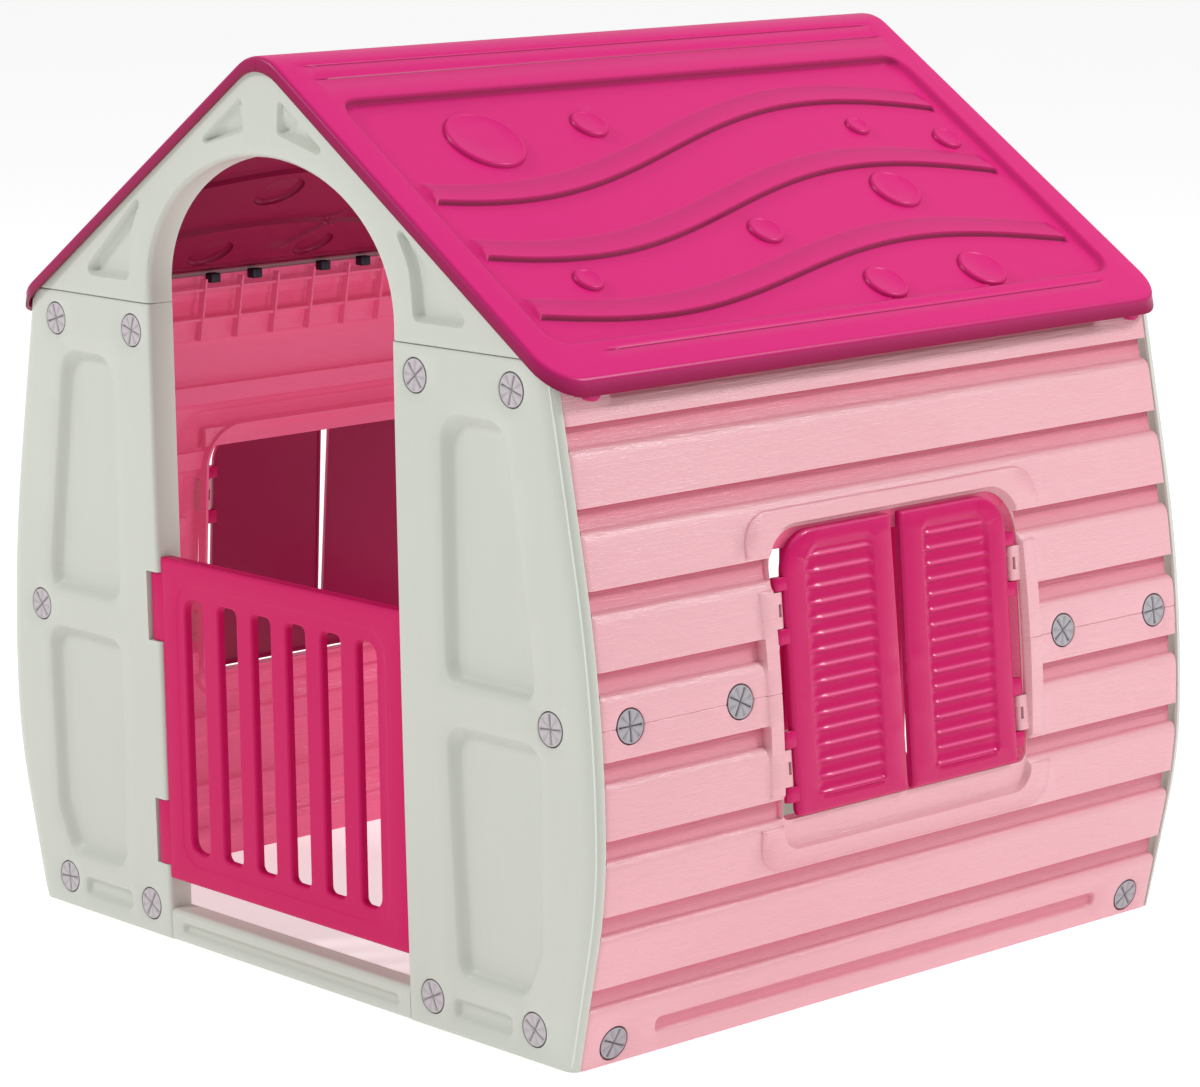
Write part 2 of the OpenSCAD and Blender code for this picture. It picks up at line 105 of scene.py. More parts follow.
# ---- outlines
def rounded(points, radii, n=6):
    pts = [np.array(p, float) for p in points]
    radii = [radii] * len(pts) if np.isscalar(radii) else radii
    out = []
    for i, r in enumerate(radii):
        a, b, c = pts[i - 1], pts[i], pts[(i + 1) % len(pts)]
        u, v = (a - b) / np.linalg.norm(a - b), (c - b) / np.linalg.norm(c - b)
        h = math.acos(float(np.clip(u @ v, -1, 1))) / 2
        if r <= 0 or abs(h - math.pi / 2) < 1e-3:
            out.append(b)
            continue
        mid = b + (u + v) / np.linalg.norm(u + v) * r / math.sin(h)
        p, q = b + u * r / math.tan(h) - mid, b + v * r / math.tan(h) - mid
        s = math.atan2(p[1], p[0])
        e = (math.atan2(q[1], q[0]) - s + 3 * math.pi) % (2 * math.pi) - math.pi
        out += [mid + r * np.array([math.cos(s + e * k / n), math.sin(s + e * k / n)]) for k in range(n + 1)]
    return np.array(out)


def rect(x0, z0, x1, z1, r=0, n=6):
    return rounded([[x0, z0], [x1, z0], [x1, z1], [x0, z1]], r, n)


def circle(x, z, r, n=40):
    turns = [2 * math.pi * k / n for k in range(n)]
    return np.array([[x + r * math.cos(a), z + r * math.sin(a)] for a in turns])


def stroke(x0, z0, x1, z1):
    return np.array([[x0, z0], [x1, z1]])


def inside(loop, points):
    a, b = loop, np.roll(loop, -1, 0)
    x, y = points[:, 0][:, None], points[:, 1][:, None]
    crosses = (a[:, 1] > y) != (b[:, 1] > y)
    dy = np.where(np.abs(b[:, 1] - a[:, 1]) < 1e-9, 1e-9, b[:, 1] - a[:, 1])
    at = (b[:, 0] - a[:, 0]) * (y - a[:, 1]) / dy + a[:, 0]
    return (crosses & (x < at)).sum(1) % 2 == 1


def gap(line, points, closed=True):
    """Distance from each point to a line."""
    a = line if closed else line[:-1]
    b = np.roll(line, -1, 0) if closed else line[1:]
    d = b - a
    length = np.maximum((d * d).sum(1), 1e-9)
    out = np.empty(len(points))
    for i in range(0, len(points), 3000):
        p = points[i : i + 3000, None, :] - a
        t = np.clip((p * d).sum(2) / length, 0, 1)
        q = p - t[..., None] * d
        out[i : i + 3000] = np.sqrt((q * q).sum(2)).min(1)
    return out


def depth_in(loop, points):
    """Distance inside a loop: above zero inside it."""
    return np.where(inside(loop, points), 1, -1) * gap(loop, points)


def mitred(loop):
    """The loop run anticlockwise, with the direction out of it and the sharpness at each corner."""
    loop = np.asarray(loop, float)
    nxt = np.roll(loop, -1, 0)
    if (loop[:, 0] * nxt[:, 1] - nxt[:, 0] * loop[:, 1]).sum() < 0:
        loop = loop[::-1]
    e = np.roll(loop, -1, 0) - loop
    e /= np.maximum(np.linalg.norm(e, axis=1), 1e-9)[:, None]
    n = np.stack([e[:, 1], -e[:, 0]], 1)
    m = n + np.roll(n, 1, 0)
    m /= np.maximum(np.linalg.norm(m, axis=1), 1e-9)[:, None]
    return loop, m, (m * n).sum(1)


def grow(loop, d):
    """The loop moved outwards by d, or inwards where d is below zero."""
    loop, way, sharp = mitred(loop)
    out = loop + way * (d / np.maximum(0.5, sharp))[:, None]
    return out[gap(loop, out) > abs(d) * 0.96]


def dense(line, step, closed=True):
    pts = list(line) + ([line[0]] if closed else [])
    out = []
    for a, b in zip(pts[:-1], pts[1:]):
        n = max(1, int(math.ceil(np.linalg.norm(np.subtract(b, a)) / step)))
        out += [np.add(a, np.subtract(b, a) * k / n) for k in range(n)]
    return np.array(out + ([] if closed else [pts[-1]]))


def soft(t):
    t = np.clip(t, 0, 1)
    return t * t * (3 - 2 * t)


def round_edge(d, width, drop):
    """A rounded edge: zero from width inwards, falling by drop at the edge."""
    t = np.clip((width - d) / width, 0, 1)
    return -drop * (1 - np.sqrt(1 - t * t))


def rings(loop, offsets):
    return [grow(loop, -d) if d else np.asarray(loop) for d in offsets]


# ---- mesh building
def link(name, mesh):
    piece = bpy.data.objects.new(name, mesh)
    bpy.context.scene.collection.objects.link(piece)
    return piece


def make(name, verts, faces, marks=None, angle=40):
    """A mesh piece from points in millimetres, smooth but for its sharp edges."""
    mesh = bpy.data.meshes.new(name)
    corners = [tuple(int(i) for i in f) for f in faces]
    mesh.from_pydata([tuple(v) for v in np.asarray(verts) * MM], [], corners)
    for key, values in (marks or {}).items():
        mesh.attributes.new(key, "FLOAT", "POINT").data.foreach_set("value", np.asarray(values, np.float32))
    bm = bmesh.new()
    bm.from_mesh(mesh)
    bmesh.ops.remove_doubles(bm, verts=bm.verts, dist=2e-6)
    bmesh.ops.dissolve_degenerate(bm, dist=1e-7, edges=bm.edges)
    bmesh.ops.recalc_face_normals(bm, faces=bm.faces)
    for e in bm.edges:
        e.smooth = len(e.link_faces) != 2 or e.calc_face_angle(0) < math.radians(angle)
    for f in bm.faces:
        f.smooth = True
    bm.to_mesh(mesh)
    bm.free()
    return link(name, mesh)


def moulding(
    name, outline, top, back, holes=(), creases=(), strokes=(), deep=None, rim=None,
    step=22, grain=9, marks=None, angle=40, rim_painted_shade=0.0,
):
    """A thin moulded wall. top, back and rim give points in space for points of the flat outline;
    deep says which flat points belong to the turned-in edge, whose underside is rim and not back."""
    loops = [dense(line, grain) for line in (outline, *holes, *creases) if len(line) > 2]
    lines = [dense(s, grain, False) for s in strokes]
    verts, edges = [], []
    for line, closed in [(l, True) for l in loops] + [(l, False) for l in lines]:
        n0 = len(verts)
        verts += [tuple(p) for p in line]
        edges += [(n0 + i, n0 + i + 1) for i in range(len(line) - 1)]
        if closed:
            edges.append((len(verts) - 1, n0))
    fixed = np.array(verts)
    lo, hi = fixed.min(0), fixed.max(0)
    columns, rows = (np.arange(lo[i] + step / 2, hi[i], step) for i in (0, 1))
    fill = np.stack([g.ravel() for g in np.meshgrid(columns, rows)], 1)
    far = np.array([np.min(((fixed - p) ** 2).sum(1)) for p in fill]) > (0.35 * step) ** 2
    verts += [tuple(p) for p in fill[far]]
    found = delaunay_2d_cdt([Vector(v) for v in verts], edges, [], 0, 1e-3)
    flat = np.array([v[:] for v in found[0]])
    tris = np.array([f for f in found[2] if len(f) == 3])
    mid = flat[tris].mean(1)
    keep = inside(np.asarray(outline), mid)
    for h in holes:
        keep &= ~inside(np.asarray(h), mid)
    tris, mid = tris[keep], mid[keep]
    used, back_index = np.unique(tris, return_inverse=True)
    flat, tris = flat[used], back_index.reshape(-1, 3)
    n = len(flat)
    layers = [top(flat), back(flat), rim(flat) if rim else back(flat)]
    # how far down the list the underside of each triangle starts
    unders = np.where(deep(mid), 2 * n, n) if deep else np.full(len(tris), n)
    faces = [tuple(t) for t in tris]
    faces += [(t[2] + low, t[1] + low, t[0] + low) for t, low in zip(tris, unders)]
    owner = {}
    for t, low in zip(tris, unders):
        for a, b in ((t[0], t[1]), (t[1], t[2]), (t[2], t[0])):
            owner.setdefault((min(a, b), max(a, b)), []).append((a, b, low))
    for uses in owner.values():
        a, b, low = uses[0]
        if len(uses) == 1:
            faces.append((b, a, a + low, b + low))
        elif low != uses[1][2]:
            if low == n:
                a, b, low = uses[1]
            faces.append((b + n, a + n, a + 2 * n, b + 2 * n))
    used_v = np.unique(np.concatenate([np.asarray(f) for f in faces]))
    renum = np.full(3 * n, -1)
    renum[used_v] = np.arange(len(used_v))
    all_marks = {"inner": np.concatenate([np.zeros(n), np.ones(2 * n)])[used_v]}
    for key, f in (marks or {}).items():
        value = f(flat)
        # marks go on the top face only; the turned-in rim takes one fixed value, painted shade on the roof's
        # rim
        all_marks[key] = np.concatenate([value, value * 0, value * 0 + rim_painted_shade])[used_v]
    space = np.concatenate(layers)[used_v]
    return make(name, space, [tuple(renum[list(f)]) for f in faces], all_marks, angle)


def turned(piece, name, how):
    """A copy of a piece: mirrored in x or y, or turned half round."""
    sign = {"x": (-1, 1), "y": (1, -1), "half": (-1, -1)}[how]
    mesh = piece.data.copy()
    mesh.transform(Matrix.Diagonal((sign[0], sign[1], 1, 1)))
    if how != "half":
        mesh.flip_normals()
    return link(name, mesh)


def join(name, pieces):
    """Several pieces made into one."""
    bm = bmesh.new()
    for p in pieces:
        bm.from_mesh(p.data)
    mesh = bpy.data.meshes.new(name)
    bm.to_mesh(mesh)
    bm.free()
    for p in pieces:
        bpy.data.objects.remove(p)
    return link(name, mesh)


def set_inner(piece, value):
    """Gives the whole piece one look between the outside, 0, and the inside, 1, of a moulding; the inside
    look is a painted shade colour and, where the material has it, a painted glow.
    """
    spots = piece.data.attributes["inner"].data
    spots.foreach_set("value", np.full(len(spots), value, np.float32))


def prism(name, outline, lo, hi, place, bevel=1.0):
    """A solid with a flat outline and small rounded edges, from height lo to hi."""
    outline, way, sharp = mitred(outline)
    k = bevel / np.maximum(0.6, sharp)
    inner = outline - way * k[:, None]
    half = outline - way * (k * 0.3)[:, None]
    stack = [(inner, lo), (half, lo + 0.3 * bevel), (outline, lo + bevel)]
    stack += [(outline, hi - bevel), (half, hi - 0.3 * bevel), (inner, hi)]
    n = len(outline)
    verts = np.concatenate([np.column_stack([o, np.full(n, h)]) for o, h in stack])
    faces = [tuple(range(n - 1, -1, -1)), tuple(range(5 * n, 6 * n))]
    for j in range(5):
        low, high = j * n, (j + 1) * n
        faces += [(low + i, low + (i + 1) % n, high + (i + 1) % n, high + i) for i in range(n)]
    return make(name, place(verts), faces, {"inner": np.zeros(6 * n)}, 50)


def upright(p):
    """For a prism that stands: its outline is x, y."""
    return p


def lengthways(p):
    """For a prism that runs along the ridge: its outline is x, z."""
    return np.stack([p[:, 0], p[:, 2], p[:, 1]], 1)


def at_depth(p, depth):
    """Points x, z of the front, at a distance from the centre."""
    return np.stack([p[:, 0], np.zeros(len(p)) - depth, p[:, 1]], 1)


def on_front(p, h):
    """Points x, z of the front, at height h over its bowed face."""
    return at_depth(p, face_y(p[:, 0], p[:, 1]) + h)


# ---- materials
class Val:
    """A socket with arithmetic: each operator adds the Math node it needs."""

    def __init__(self, tree, socket):
        self.tree, self.socket = tree, socket

    def math(self, operation, *others):
        node = self.tree.nodes.new("ShaderNodeMath")
        node.operation = operation
        for i, v in enumerate(others):
            if isinstance(v, Val):
                self.tree.links.new(v.socket, node.inputs[i])
            else:
                node.inputs[i].default_value = v
        return Val(self.tree, node.outputs[0])

    def __add__(self, o):
        return self.math("ADD", self, o)

    def __radd__(self, o):
        return self.math("ADD", o, self)

    def __sub__(self, o):
        return self.math("SUBTRACT", self, o)

    def __mul__(self, o):
        return self.math("MULTIPLY", self, o)

    def clamp(self):
        return self.math("MINIMUM", self.math("MAXIMUM", self, 0.0), 1.0)


class Finish:
    """A material and the one way its nodes are added."""

    def __init__(self, name):
        self.mat = bpy.data.materials.new(name)
        self.mat.use_nodes = True
        self.tree = self.mat.node_tree
        self.shader = self.tree.nodes["Principled BSDF"]

    def node(self, kind, settings=None, out=0, **sockets):
        node = self.tree.nodes.new(kind)
        for key, value in (settings or {}).items():
            setattr(node, key, value)
        for key, value in sockets.items():
            numbered = key[0] == "i" and key[1:].isdigit()
            self.put(node.inputs[int(key[1:]) if numbered else key], value)
        return Val(self.tree, node.outputs[out])

    def put(self, socket, value):
        if isinstance(value, Val):
            self.tree.links.new(value.socket, socket)
        else:
            socket.default_value = value

    def mix(self, factor, a, b):
        return self.node("ShaderNodeMix", {"data_type": "RGBA"}, 2, i0=factor, i6=a, i7=b)

    def noise(self, scale, vector, detail=3.0, rough=0.5):
        return self.node("ShaderNodeTexNoise", Vector=vector, Scale=scale, Detail=detail, Roughness=rough)

    def mark(self, name):
        return self.node("ShaderNodeAttribute", {"attribute_name": name}, 2)

    def where(self, stretch=(1, 1, 1)):
        spot = self.node("ShaderNodeTexCoord", out=3)
        return self.node("ShaderNodeVectorMath", {"operation": "MULTIPLY"}, i0=spot, i1=stretch)

    def bump(self, height, distance):
        return self.node("ShaderNodeBump", Height=height, Distance=distance, Strength=1.0)


def hexed(code):
    """A colour written as rrggbb, in linear light."""
    rgb = [int(code[i : i + 2], 16) / 255 for i in (0, 2, 4)]
    return tuple(c / 12.92 if c < 0.04045 else ((c + 0.055) / 1.055) ** 2.4 for c in rgb) + (1.0,)


def plastic(
    name, colour, darker, rough=0.42, grain=(1, 1, 1), grain_depth=0.0001, grain_scale=60.0,
    sunk=None, inner=None, specular=0.4, tone=0.5, painted_glow=0.0,
):
    """Moulded plastic: an even colour with faint flow marks, a fine grain and a slightly uneven gloss. A
    mark mixes in painted shade, or on the shutters a painted highlight, and the inside faces get a colour
    and a glow painted on as shade and light.
    """
    f = Finish(name)
    where = f.where()
    cloud = f.noise(2.2, where, 2.0)
    streak = f.noise(grain_scale, f.where(grain), 4.0, 0.6)
    base = f.mix(((cloud - 0.35) * 1.2 + (streak - 0.5) * 0.5).clamp() * tone, hexed(colour), hexed(darker))
    # a second colour along the mark: painted shade, and on the shutters a painted highlight
    if sunk:
        base = f.mix(f.mark("sunk").clamp(), base, hexed(sunk))
    # the inside faces take their own colour, on the pink parts a darker one as painted shade
    if inner:
        base = f.mix(f.mark("inner").clamp(), base, hexed(inner))
    fine = f.noise(900.0, where, 2.0)
    f.put(f.shader.inputs["Base Color"], base)
    # the inside faces glow in the inside colour: painted light
    if painted_glow:
        lit = f.mix(f.mark("inner").clamp(), (0, 0, 0, 1), hexed(inner))
        f.put(f.shader.inputs["Emission Color"], lit)
        f.shader.inputs["Emission Strength"].default_value = painted_glow
    f.put(f.shader.inputs["Roughness"], (rough + (cloud - 0.5) * 0.12 + (fine - 0.5) * 0.06).clamp())
    f.put(f.shader.inputs["Normal"], f.bump(streak + fine * 0.25, grain_depth))
    f.shader.inputs["Specular IOR Level"].default_value = specular
    return f.mat


# grey: the inside faces glow faintly in their colour as painted light
GREY = plastic(
    "grey_plastic", "c5c8bf", "bcbfb6", 0.42, (60, 60, 2.2), 0.00016, 6.0,
    inner="c4cac0", tone=0.8, specular=0.35, painted_glow=0.16,
)
# planks: the mark darkens grooves, slots, the trim's edge and the top edge as painted shade; the inside
# faces take a darker pink as painted shade and glow in it as painted light
WALL = plastic(
    "pale_pink_plank", "e2aab2", "da9aa4", 0.23, (2.0, 2.0, 55), 0.0009, 9.0,
    sunk="c94f6e", inner="d4587f", tone=1.0, painted_glow=0.26, specular=0.5,
)
# roof: the mark darkens the hollows, grooves and rim as painted shade; the inside takes a darker colour as
# painted shade
ROOF = plastic(
    "bright_pink_roof", "da1f7a", "d21b74", 0.34, (1, 1, 1), 0.00006, 25.0,
    sunk="7c0c40", inner="86123f", specular=0.2,
)
DOOR = plastic("raspberry_door", "c40c5a", "bc0a54", 0.42, (40, 40, 3), 0.0001, 8.0, specular=0.15)
# shutters: the mark lightens the louvre crests and the top edge as a painted highlight; the inside takes a
# darker colour as painted shade and glows in it as painted light
LEAF = plastic(
    "raspberry_shutter", "c0065c", "b70554", 0.22, (3, 3, 40), 0.00008, 8.0,
    sunk="ee5f9b", inner="86123f", specular=0.28, painted_glow=0.12,
)
# screws: the mark darkens the cross grooves and the side of the head as painted shade
BOLT = plastic("lilac_grey_bolt", "bdb6b9", "ada5a9", 0.45, grain_scale=120.0, sunk="857c82")
SIDE_BOLT = plastic("grey_bolt", "a5a1a6", "979298", 0.4, grain_scale=120.0, sunk="5d585f")
CLIP = plastic("navy_clip", "191a2c", "10111c", 0.45)
PIN = plastic("pale_pin", "8f838c", "83777f", 0.4)


def finish_piece(piece, material, *nodes, body="house"):
    """Gives a piece its material and body, and hides the CAD nodes that it stands for."""
    piece.data.materials.clear()
    piece.data.materials.append(material)
    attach(piece, body)
    if nodes:
        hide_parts(*nodes)


# ---- front and back panels
upper_field = rounded([[279, 371], [416, 371], [419, 400], [380, 652], [279, 652]], [26, 16, 20, 32, 32])
lower_field = rounded([[288, 63], [398, 63], [424, 118], [427, 332], [278, 332]], [24, 26, 40, 26, 26])
short_slot = rect(281, 18, 374, 42, 8)
bolts_at = [[389, 683], [243, 683], [439, 350], [406, 34], [246.5, 34]]


def wells(points, spots):
    """The round counterbores of the screws."""
    h = np.zeros(len(points))
    for x, z in spots:
        d = np.hypot(points[:, 0] - x, points[:, 1] - z)
        lip = -0.8 * soft((WELL_R + 1.6 - d) / 1.6)
        h = np.minimum(h, lip - 5.0 * soft((WELL_R - d) / 0.4))
    return h


def well_rings(spots):
    return [circle(x, z, WELL_R + d) for x, z in spots for d in (1.8, 0.8, 0, -0.5)]


def field_depth(p):
    large = soft(depth_in(upper_field, p) / 12) + soft(depth_in(lower_field, p) / 12)
    return -12 * large - 6 * soft(depth_in(short_slot, p) / 6)


def panel_height(p):
    x, z = p[:, 0], p[:, 1]
    edge = np.minimum(round_edge(wall_x(z) - 0.5 - x, 22, 12), round_edge(x - door_half, 5, 5))
    ends = np.minimum(round_edge(panel_z - z, 2.0, 1.6), round_edge(z, 3, 3))
    return field_depth(p) + np.minimum(edge, ends) + wells(p, bolts_at)


panel_z = seam_z - SEAM_GAP
roof_cut = RIDGE_Z - 7
side = [[float(wall_x(z)) - 0.5, z] for z in np.arange(0, 720, 14)]
side = [[x, z] for x, z in side if z < roof_cut - PITCH * x]
POCKETS = ((86, 160), (340, 418))
POCKET_X = 229.2


def panel_outline(inset, pockets):
    """The panel's outline, moved in by inset, with or without the hinge pockets in its jamb."""
    top, jamb_x, pocket_x = panel_z - inset, door_half + inset, POCKET_X + inset
    jamb = [[jamb_x, top]]
    for z0, z1 in reversed(pockets):
        z0, z1 = z0 - inset, z1 + inset
        jamb += [[jamb_x, z1], [pocket_x, z1], [pocket_x, z0], [jamb_x, z0]]
    outer = [[x - inset, max(z, inset)] for x, z in side]
    corner = (roof_cut - panel_z) / PITCH - inset
    return np.array([[jamb_x, inset]] + outer + [[corner, top]] + jamb)


panel_strokes = [np.array([[x - d, z] for x, z in side]) for d in (0.6, 2, 4.5, 8, 13, 18, 22)]
panel_strokes += [stroke(door_half + d, 0, door_half + d, panel_z) for d in (0.4, 1.2, 2.6, 5)]
end_lines = (0.6, 1.6, 3, seam_z - 0.9, seam_z - 1.6, seam_z - 2.6)
panel_strokes += [stroke(door_half, z, side[0][0] + 40, z) for z in end_lines]


def panel_rim(p):
    """The turned-in edge is shallower on the side that meets the wall."""
    return at_depth(p, np.where(p[:, 0] > 300, 431.5, RETURN_Y))


def edge_return():
    """The strip behind the outer edge of a panel, inside the side wall."""
    strip = []
    heights = np.arange(4, 700, 29.0)
    for z in heights:
        x = float(wall_x(z))
        strip += [[x - 19.2, -372, z], [x - 15.4, -372, z], [x - 15.4, -433, z], [x - 19.2, -433, z]]
    last_row = 4 * (len(heights) - 1)
    faces = [(0, 1, 2, 3), tuple(last_row + i for i in (3, 2, 1, 0))]
    for i in range(0, last_row, 4):
        faces += [(i + j, i + (j + 1) % 4, i + 4 + (j + 1) % 4, i + 4 + j) for j in range(4)]
    # the strip takes the grey's inside colour and its faint glow, painted light in its shadow
    return make("edge_return", strip, faces, {"inner": np.ones(len(strip))})


def front_panel(name, pockets=()):
    """One tall hollow panel: the right hand one, seen from the front."""
    inner = panel_outline(SKIN, pockets)
    creases = [c for field in (upper_field, lower_field) for c in rings(field, (0, 2.5, 6, 9.5, 12.5))]
    creases += rings(short_slot, (0, 1.5, 3, 4.5, 6)) + well_rings(bolts_at) + [inner]
    face = moulding(
        name + "_face",
        panel_outline(0, pockets),
        lambda p: on_front(p, panel_height(p)),
        lambda p: on_front(p, field_depth(p) - SKIN + wells(p, bolts_at)),
        creases=creases,
        strokes=panel_strokes,
        deep=lambda c: ~inside(inner, c),
        rim=panel_rim,
    )
    return join(name, [face, edge_return()])


right_panel = front_panel("front_right_panel_moulding")
with_pockets = front_panel("with_pockets", POCKETS)
left_panel = turned(with_pockets, "front_left_panel_moulding", "x")
bpy.data.objects.remove(with_pockets)
back_right = turned(right_panel, "back_right_panel_moulding", "y")
back_left = turned(right_panel, "back_left_panel_moulding", "half")
finish_piece(right_panel, GREY, "front_right_panel")
finish_piece(left_panel, GREY, "front_left_panel")
finish_piece(back_right, GREY, "back_right_panel")
finish_piece(back_left, GREY, "back_left_panel")
# backs of the hinge pockets, and the stop that the closed door meets
pocket_back = rect(-229.8, -427.5, -219.8, -417, 1, 3)
blocks = [prism("block", pocket_back, z0 - 3, z1 + 3, upright, 0.8) for z0, z1 in POCKETS]
blocks.append(prism("block", rect(208.2, -428.4, 216, -424, 1, 3), 380, 410, upright, 0.8))
finish_piece(join("hinge_pocket_backs", blocks), GREY)

# ---- arch piece
ARCH_SPRING, ARCH_TOP = 733.0, 886.5


def arch_line(grow_by=0.0):
    a = np.linspace(0, math.pi, 49)
    x = (door_half + grow_by) * np.cos(a)
    return np.stack([x, ARCH_SPRING + (ARCH_TOP - ARCH_SPRING + grow_by) * np.sin(a)], 1)


arch_z = seam_z + SEAM_GAP
foot_x = (roof_cut - arch_z) / PITCH
slope_spans = ((foot_x, 40, 14), (34, -34, 13), (-40, -foot_x, 14))
slope_x = np.concatenate([np.linspace(*span) for span in slope_spans])
gable_top = np.stack([slope_x, roof_z(slope_x) - 7], 1)
gable_line = np.concatenate([[[door_half, arch_z]], gable_top, [[-door_half, arch_z]], arch_line()[::-1]])
small_tri = rounded([[28, 912], [122, 888], [31, 950]], [6, 5, 4], 4)
large_tri = rounded([[243, 737], [336, 737], [207, 845], [238, 790]], [10, 8, 5, 60], 5)
triangles = [t * [s, 1] for s in (1, -1) for t in (small_tri, large_tri)]
arch_open = np.concatenate([[[door_half, 700]], arch_line(), [[-door_half, 700]]])


def arch_recess(p):
    h = np.zeros(len(p))
    for t in triangles:
        h = h - 10 * soft(depth_in(t, p) / 6.5)
    return h


def arch_top(p):
    h = arch_recess(p) + round_edge(gap(arch_open, p, False), 8, 8)
    h += np.where(np.abs(p[:, 0]) > door_half, round_edge(p[:, 1] - arch_z, 2, 1.6), 0)
    return on_front(p, h)


arch_inner = grow(gable_line, -SKIN)
arch_strokes = []
for d in (0.6, 1.8, 4, 8):
    ends = [[door_half + d, arch_z]], [[-door_half - d, arch_z]]
    arch_strokes.append(np.concatenate([ends[0], arch_line(d), ends[1]]))
for s in (1, -1):
    arch_strokes += [stroke(s * door_half, seam_z + q, s * foot_x, seam_z + q) for q in (0.9, 1.6, 2.6)]
front_arch = moulding(
    "front_arch_moulding",
    gable_line,
    arch_top,
    lambda p: on_front(p, arch_recess(p) - SKIN),
    creases=[c for t in triangles for c in rings(t, (0, 1.6, 3.2, 4.8, 6.5))] + [arch_inner],
    strokes=arch_strokes,
    deep=lambda c: ~inside(arch_inner, c),
    rim=lambda p: at_depth(p, RETURN_Y),
)
back_arch = turned(front_arch, "back_arch_moulding", "y")
finish_piece(front_arch, GREY, "front_arch")
finish_piece(back_arch, GREY, "back_arch")

# ---- sill bar
SILL_H = 36.0
SILL_BACK = 1.5
sill_line = rect(-door_half - 0.6, 0, door_half + 0.6, SILL_H)
sill_slot = rect(-190, 10, 190, 24, 6, 5)
sill_inner = rect(-door_half + 3, SKIN, door_half - 3, SILL_H - SKIN)


def sill_recess(p):
    return -4.5 * soft(depth_in(sill_slot, p) / 4) - SILL_BACK


def sill_top(p):
    edges = np.minimum(round_edge(SILL_H - p[:, 1], 6, 6), round_edge(p[:, 1], 3, 3))
    return on_front(p, sill_recess(p) + edges)


edge_z = (0.6, 1.6, 3, 30, 32.5, 34.5, 35.5)
sill = moulding(
    "front_sill_moulding",
    sill_line,
    sill_top,
    lambda p: on_front(p, sill_recess(p) - SKIN),
    creases=rings(sill_slot, (0, 1, 2, 3, 4)) + [sill_inner],
    strokes=[stroke(-door_half - 0.6, z, door_half + 0.6, z) for z in edge_z],
    deep=lambda c: ~inside(sill_inner, c),
    rim=lambda p: at_depth(p, RETURN_Y + 0.5),
)
back_sill = turned(sill, "back_sill_moulding", "y")
finish_piece(sill, GREY, "front_sill")
finish_piece(back_sill, GREY, "back_sill")

# ---- side walls
low_grooves = [(z, z + 26.5) for z in (61 + 78.8 * k for k in range(4))]
high_grooves = [(z, z + 27.5) for z in (385 + 79.7 * k for k in range(4))]
grooves = low_grooves + high_grooves
window_rim = rect(-187, 188, 187, 523, [24, 24, 42, 42], 8)
trim_outer = rect(-218, 169, 218, 539, [30, 30, 34, 34], 8)
low_slot = rect(-336, 19, 336, 39, 8, 5)
eave_slot = rect(-370, 672, 350, 690, 6, 5)
WINDOW_HALF, WINDOW_LO, WINDOW_HI = 184, 219.5, 517.5
WALL_BOLTS = [(y, MID_Z) for y in (-393, -243, 243, 393)]
CORNER_BOLTS = [(-390, 22), (390, 22)]


def in_trim(p):
    """1 on the flat frame round the window, 0 elsewhere, with soft sides."""
    y, z = np.abs(p[:, 0]), p[:, 1]
    band = depth_in(trim_outer, p)
    top = np.minimum(band, z - 495)
    low = np.minimum(band, 216 - z)
    sides = np.minimum(np.minimum(206 - y, z - 248), 460 - z)
    return soft(np.maximum(np.maximum(top, low), sides) / 2.5 + 0.5)


def plank_height(p):
    z = p[:, 1]
    h = np.zeros(len(p))
    for z0, z1 in grooves:
        floor = -10 + 1.5 * (z1 - z) / (z1 - z0)
        turn = np.clip((z - z0 + 8) / 13, 0, 1)
        crest = floor * (1 - np.sqrt(1 - turn * turn))
        shape = np.where(z > z1, 0, np.where(z > z0 + 5, floor, crest))
        shape = np.where((z < z1) & (z > z1 - 0.8), -10 * np.clip((z1 - z) / 0.8, 0, 1), shape)
        h = np.minimum(h, shape)
    return h


def wall_height(p):
    rim = depth_in(window_rim, p)
    trim = in_trim(p)
    h = plank_height(p) * (1 - trim) + 2.4 * trim
    h = h * (1 - soft(rim / 3)) - 5.0 * soft(rim / 4)
    h = h - 4.5 * soft(depth_in(low_slot, p) / 5) - 2.5 * soft(depth_in(eave_slot, p) / 3)
    h = h + round_edge(WALL_Y - np.abs(p[:, 0]), 7, 6)
    return h + wells(p, WALL_BOLTS + CORNER_BOLTS)


def sunk_mark(p):
    """Painted shade in the grooves and slots, round the trim and along the top edge."""
    z, trim = p[:, 1], in_trim(p)
    h = plank_height(p) * (1 - trim) * (1 - soft(depth_in(window_rim, p) / 3))
    up = np.max([np.where((z > a) & (z < b), (z - a) / (b - a), 0) for a, b in grooves], 0)
    out = np.clip(-h / 10, 0, 1) ** 1.6 * (0.36 + 0.5 * up) + 1.0 * (z > 699)
    out += 0.3 * np.clip(1 - np.abs(depth_in(trim_outer, p)) / 2.0, 0, 1) * (trim > 0.02)
    return out + 0.6 * soft(depth_in(low_slot, p) / 5) + 0.45 * soft(depth_in(eave_slot, p) / 3)


def wall_point(p, h):
    return np.stack([wall_x(p[:, 1]) + h, p[:, 0], p[:, 1]], 1)


def seam_arc(loop, z0, z1, seam):
    """The part of a loop between two heights, run from the seam and back to it."""
    part = loop[(loop[:, 1] > z0) & (loop[:, 1] < z1)]
    steps = np.abs(np.diff(part, axis=0, append=part[:1])).sum(1)
    chain = np.roll(part, -(int(np.argmax(steps)) + 1), 0)
    return np.concatenate([[[chain[0][0], seam]], chain, [[chain[-1][0], seam]]])


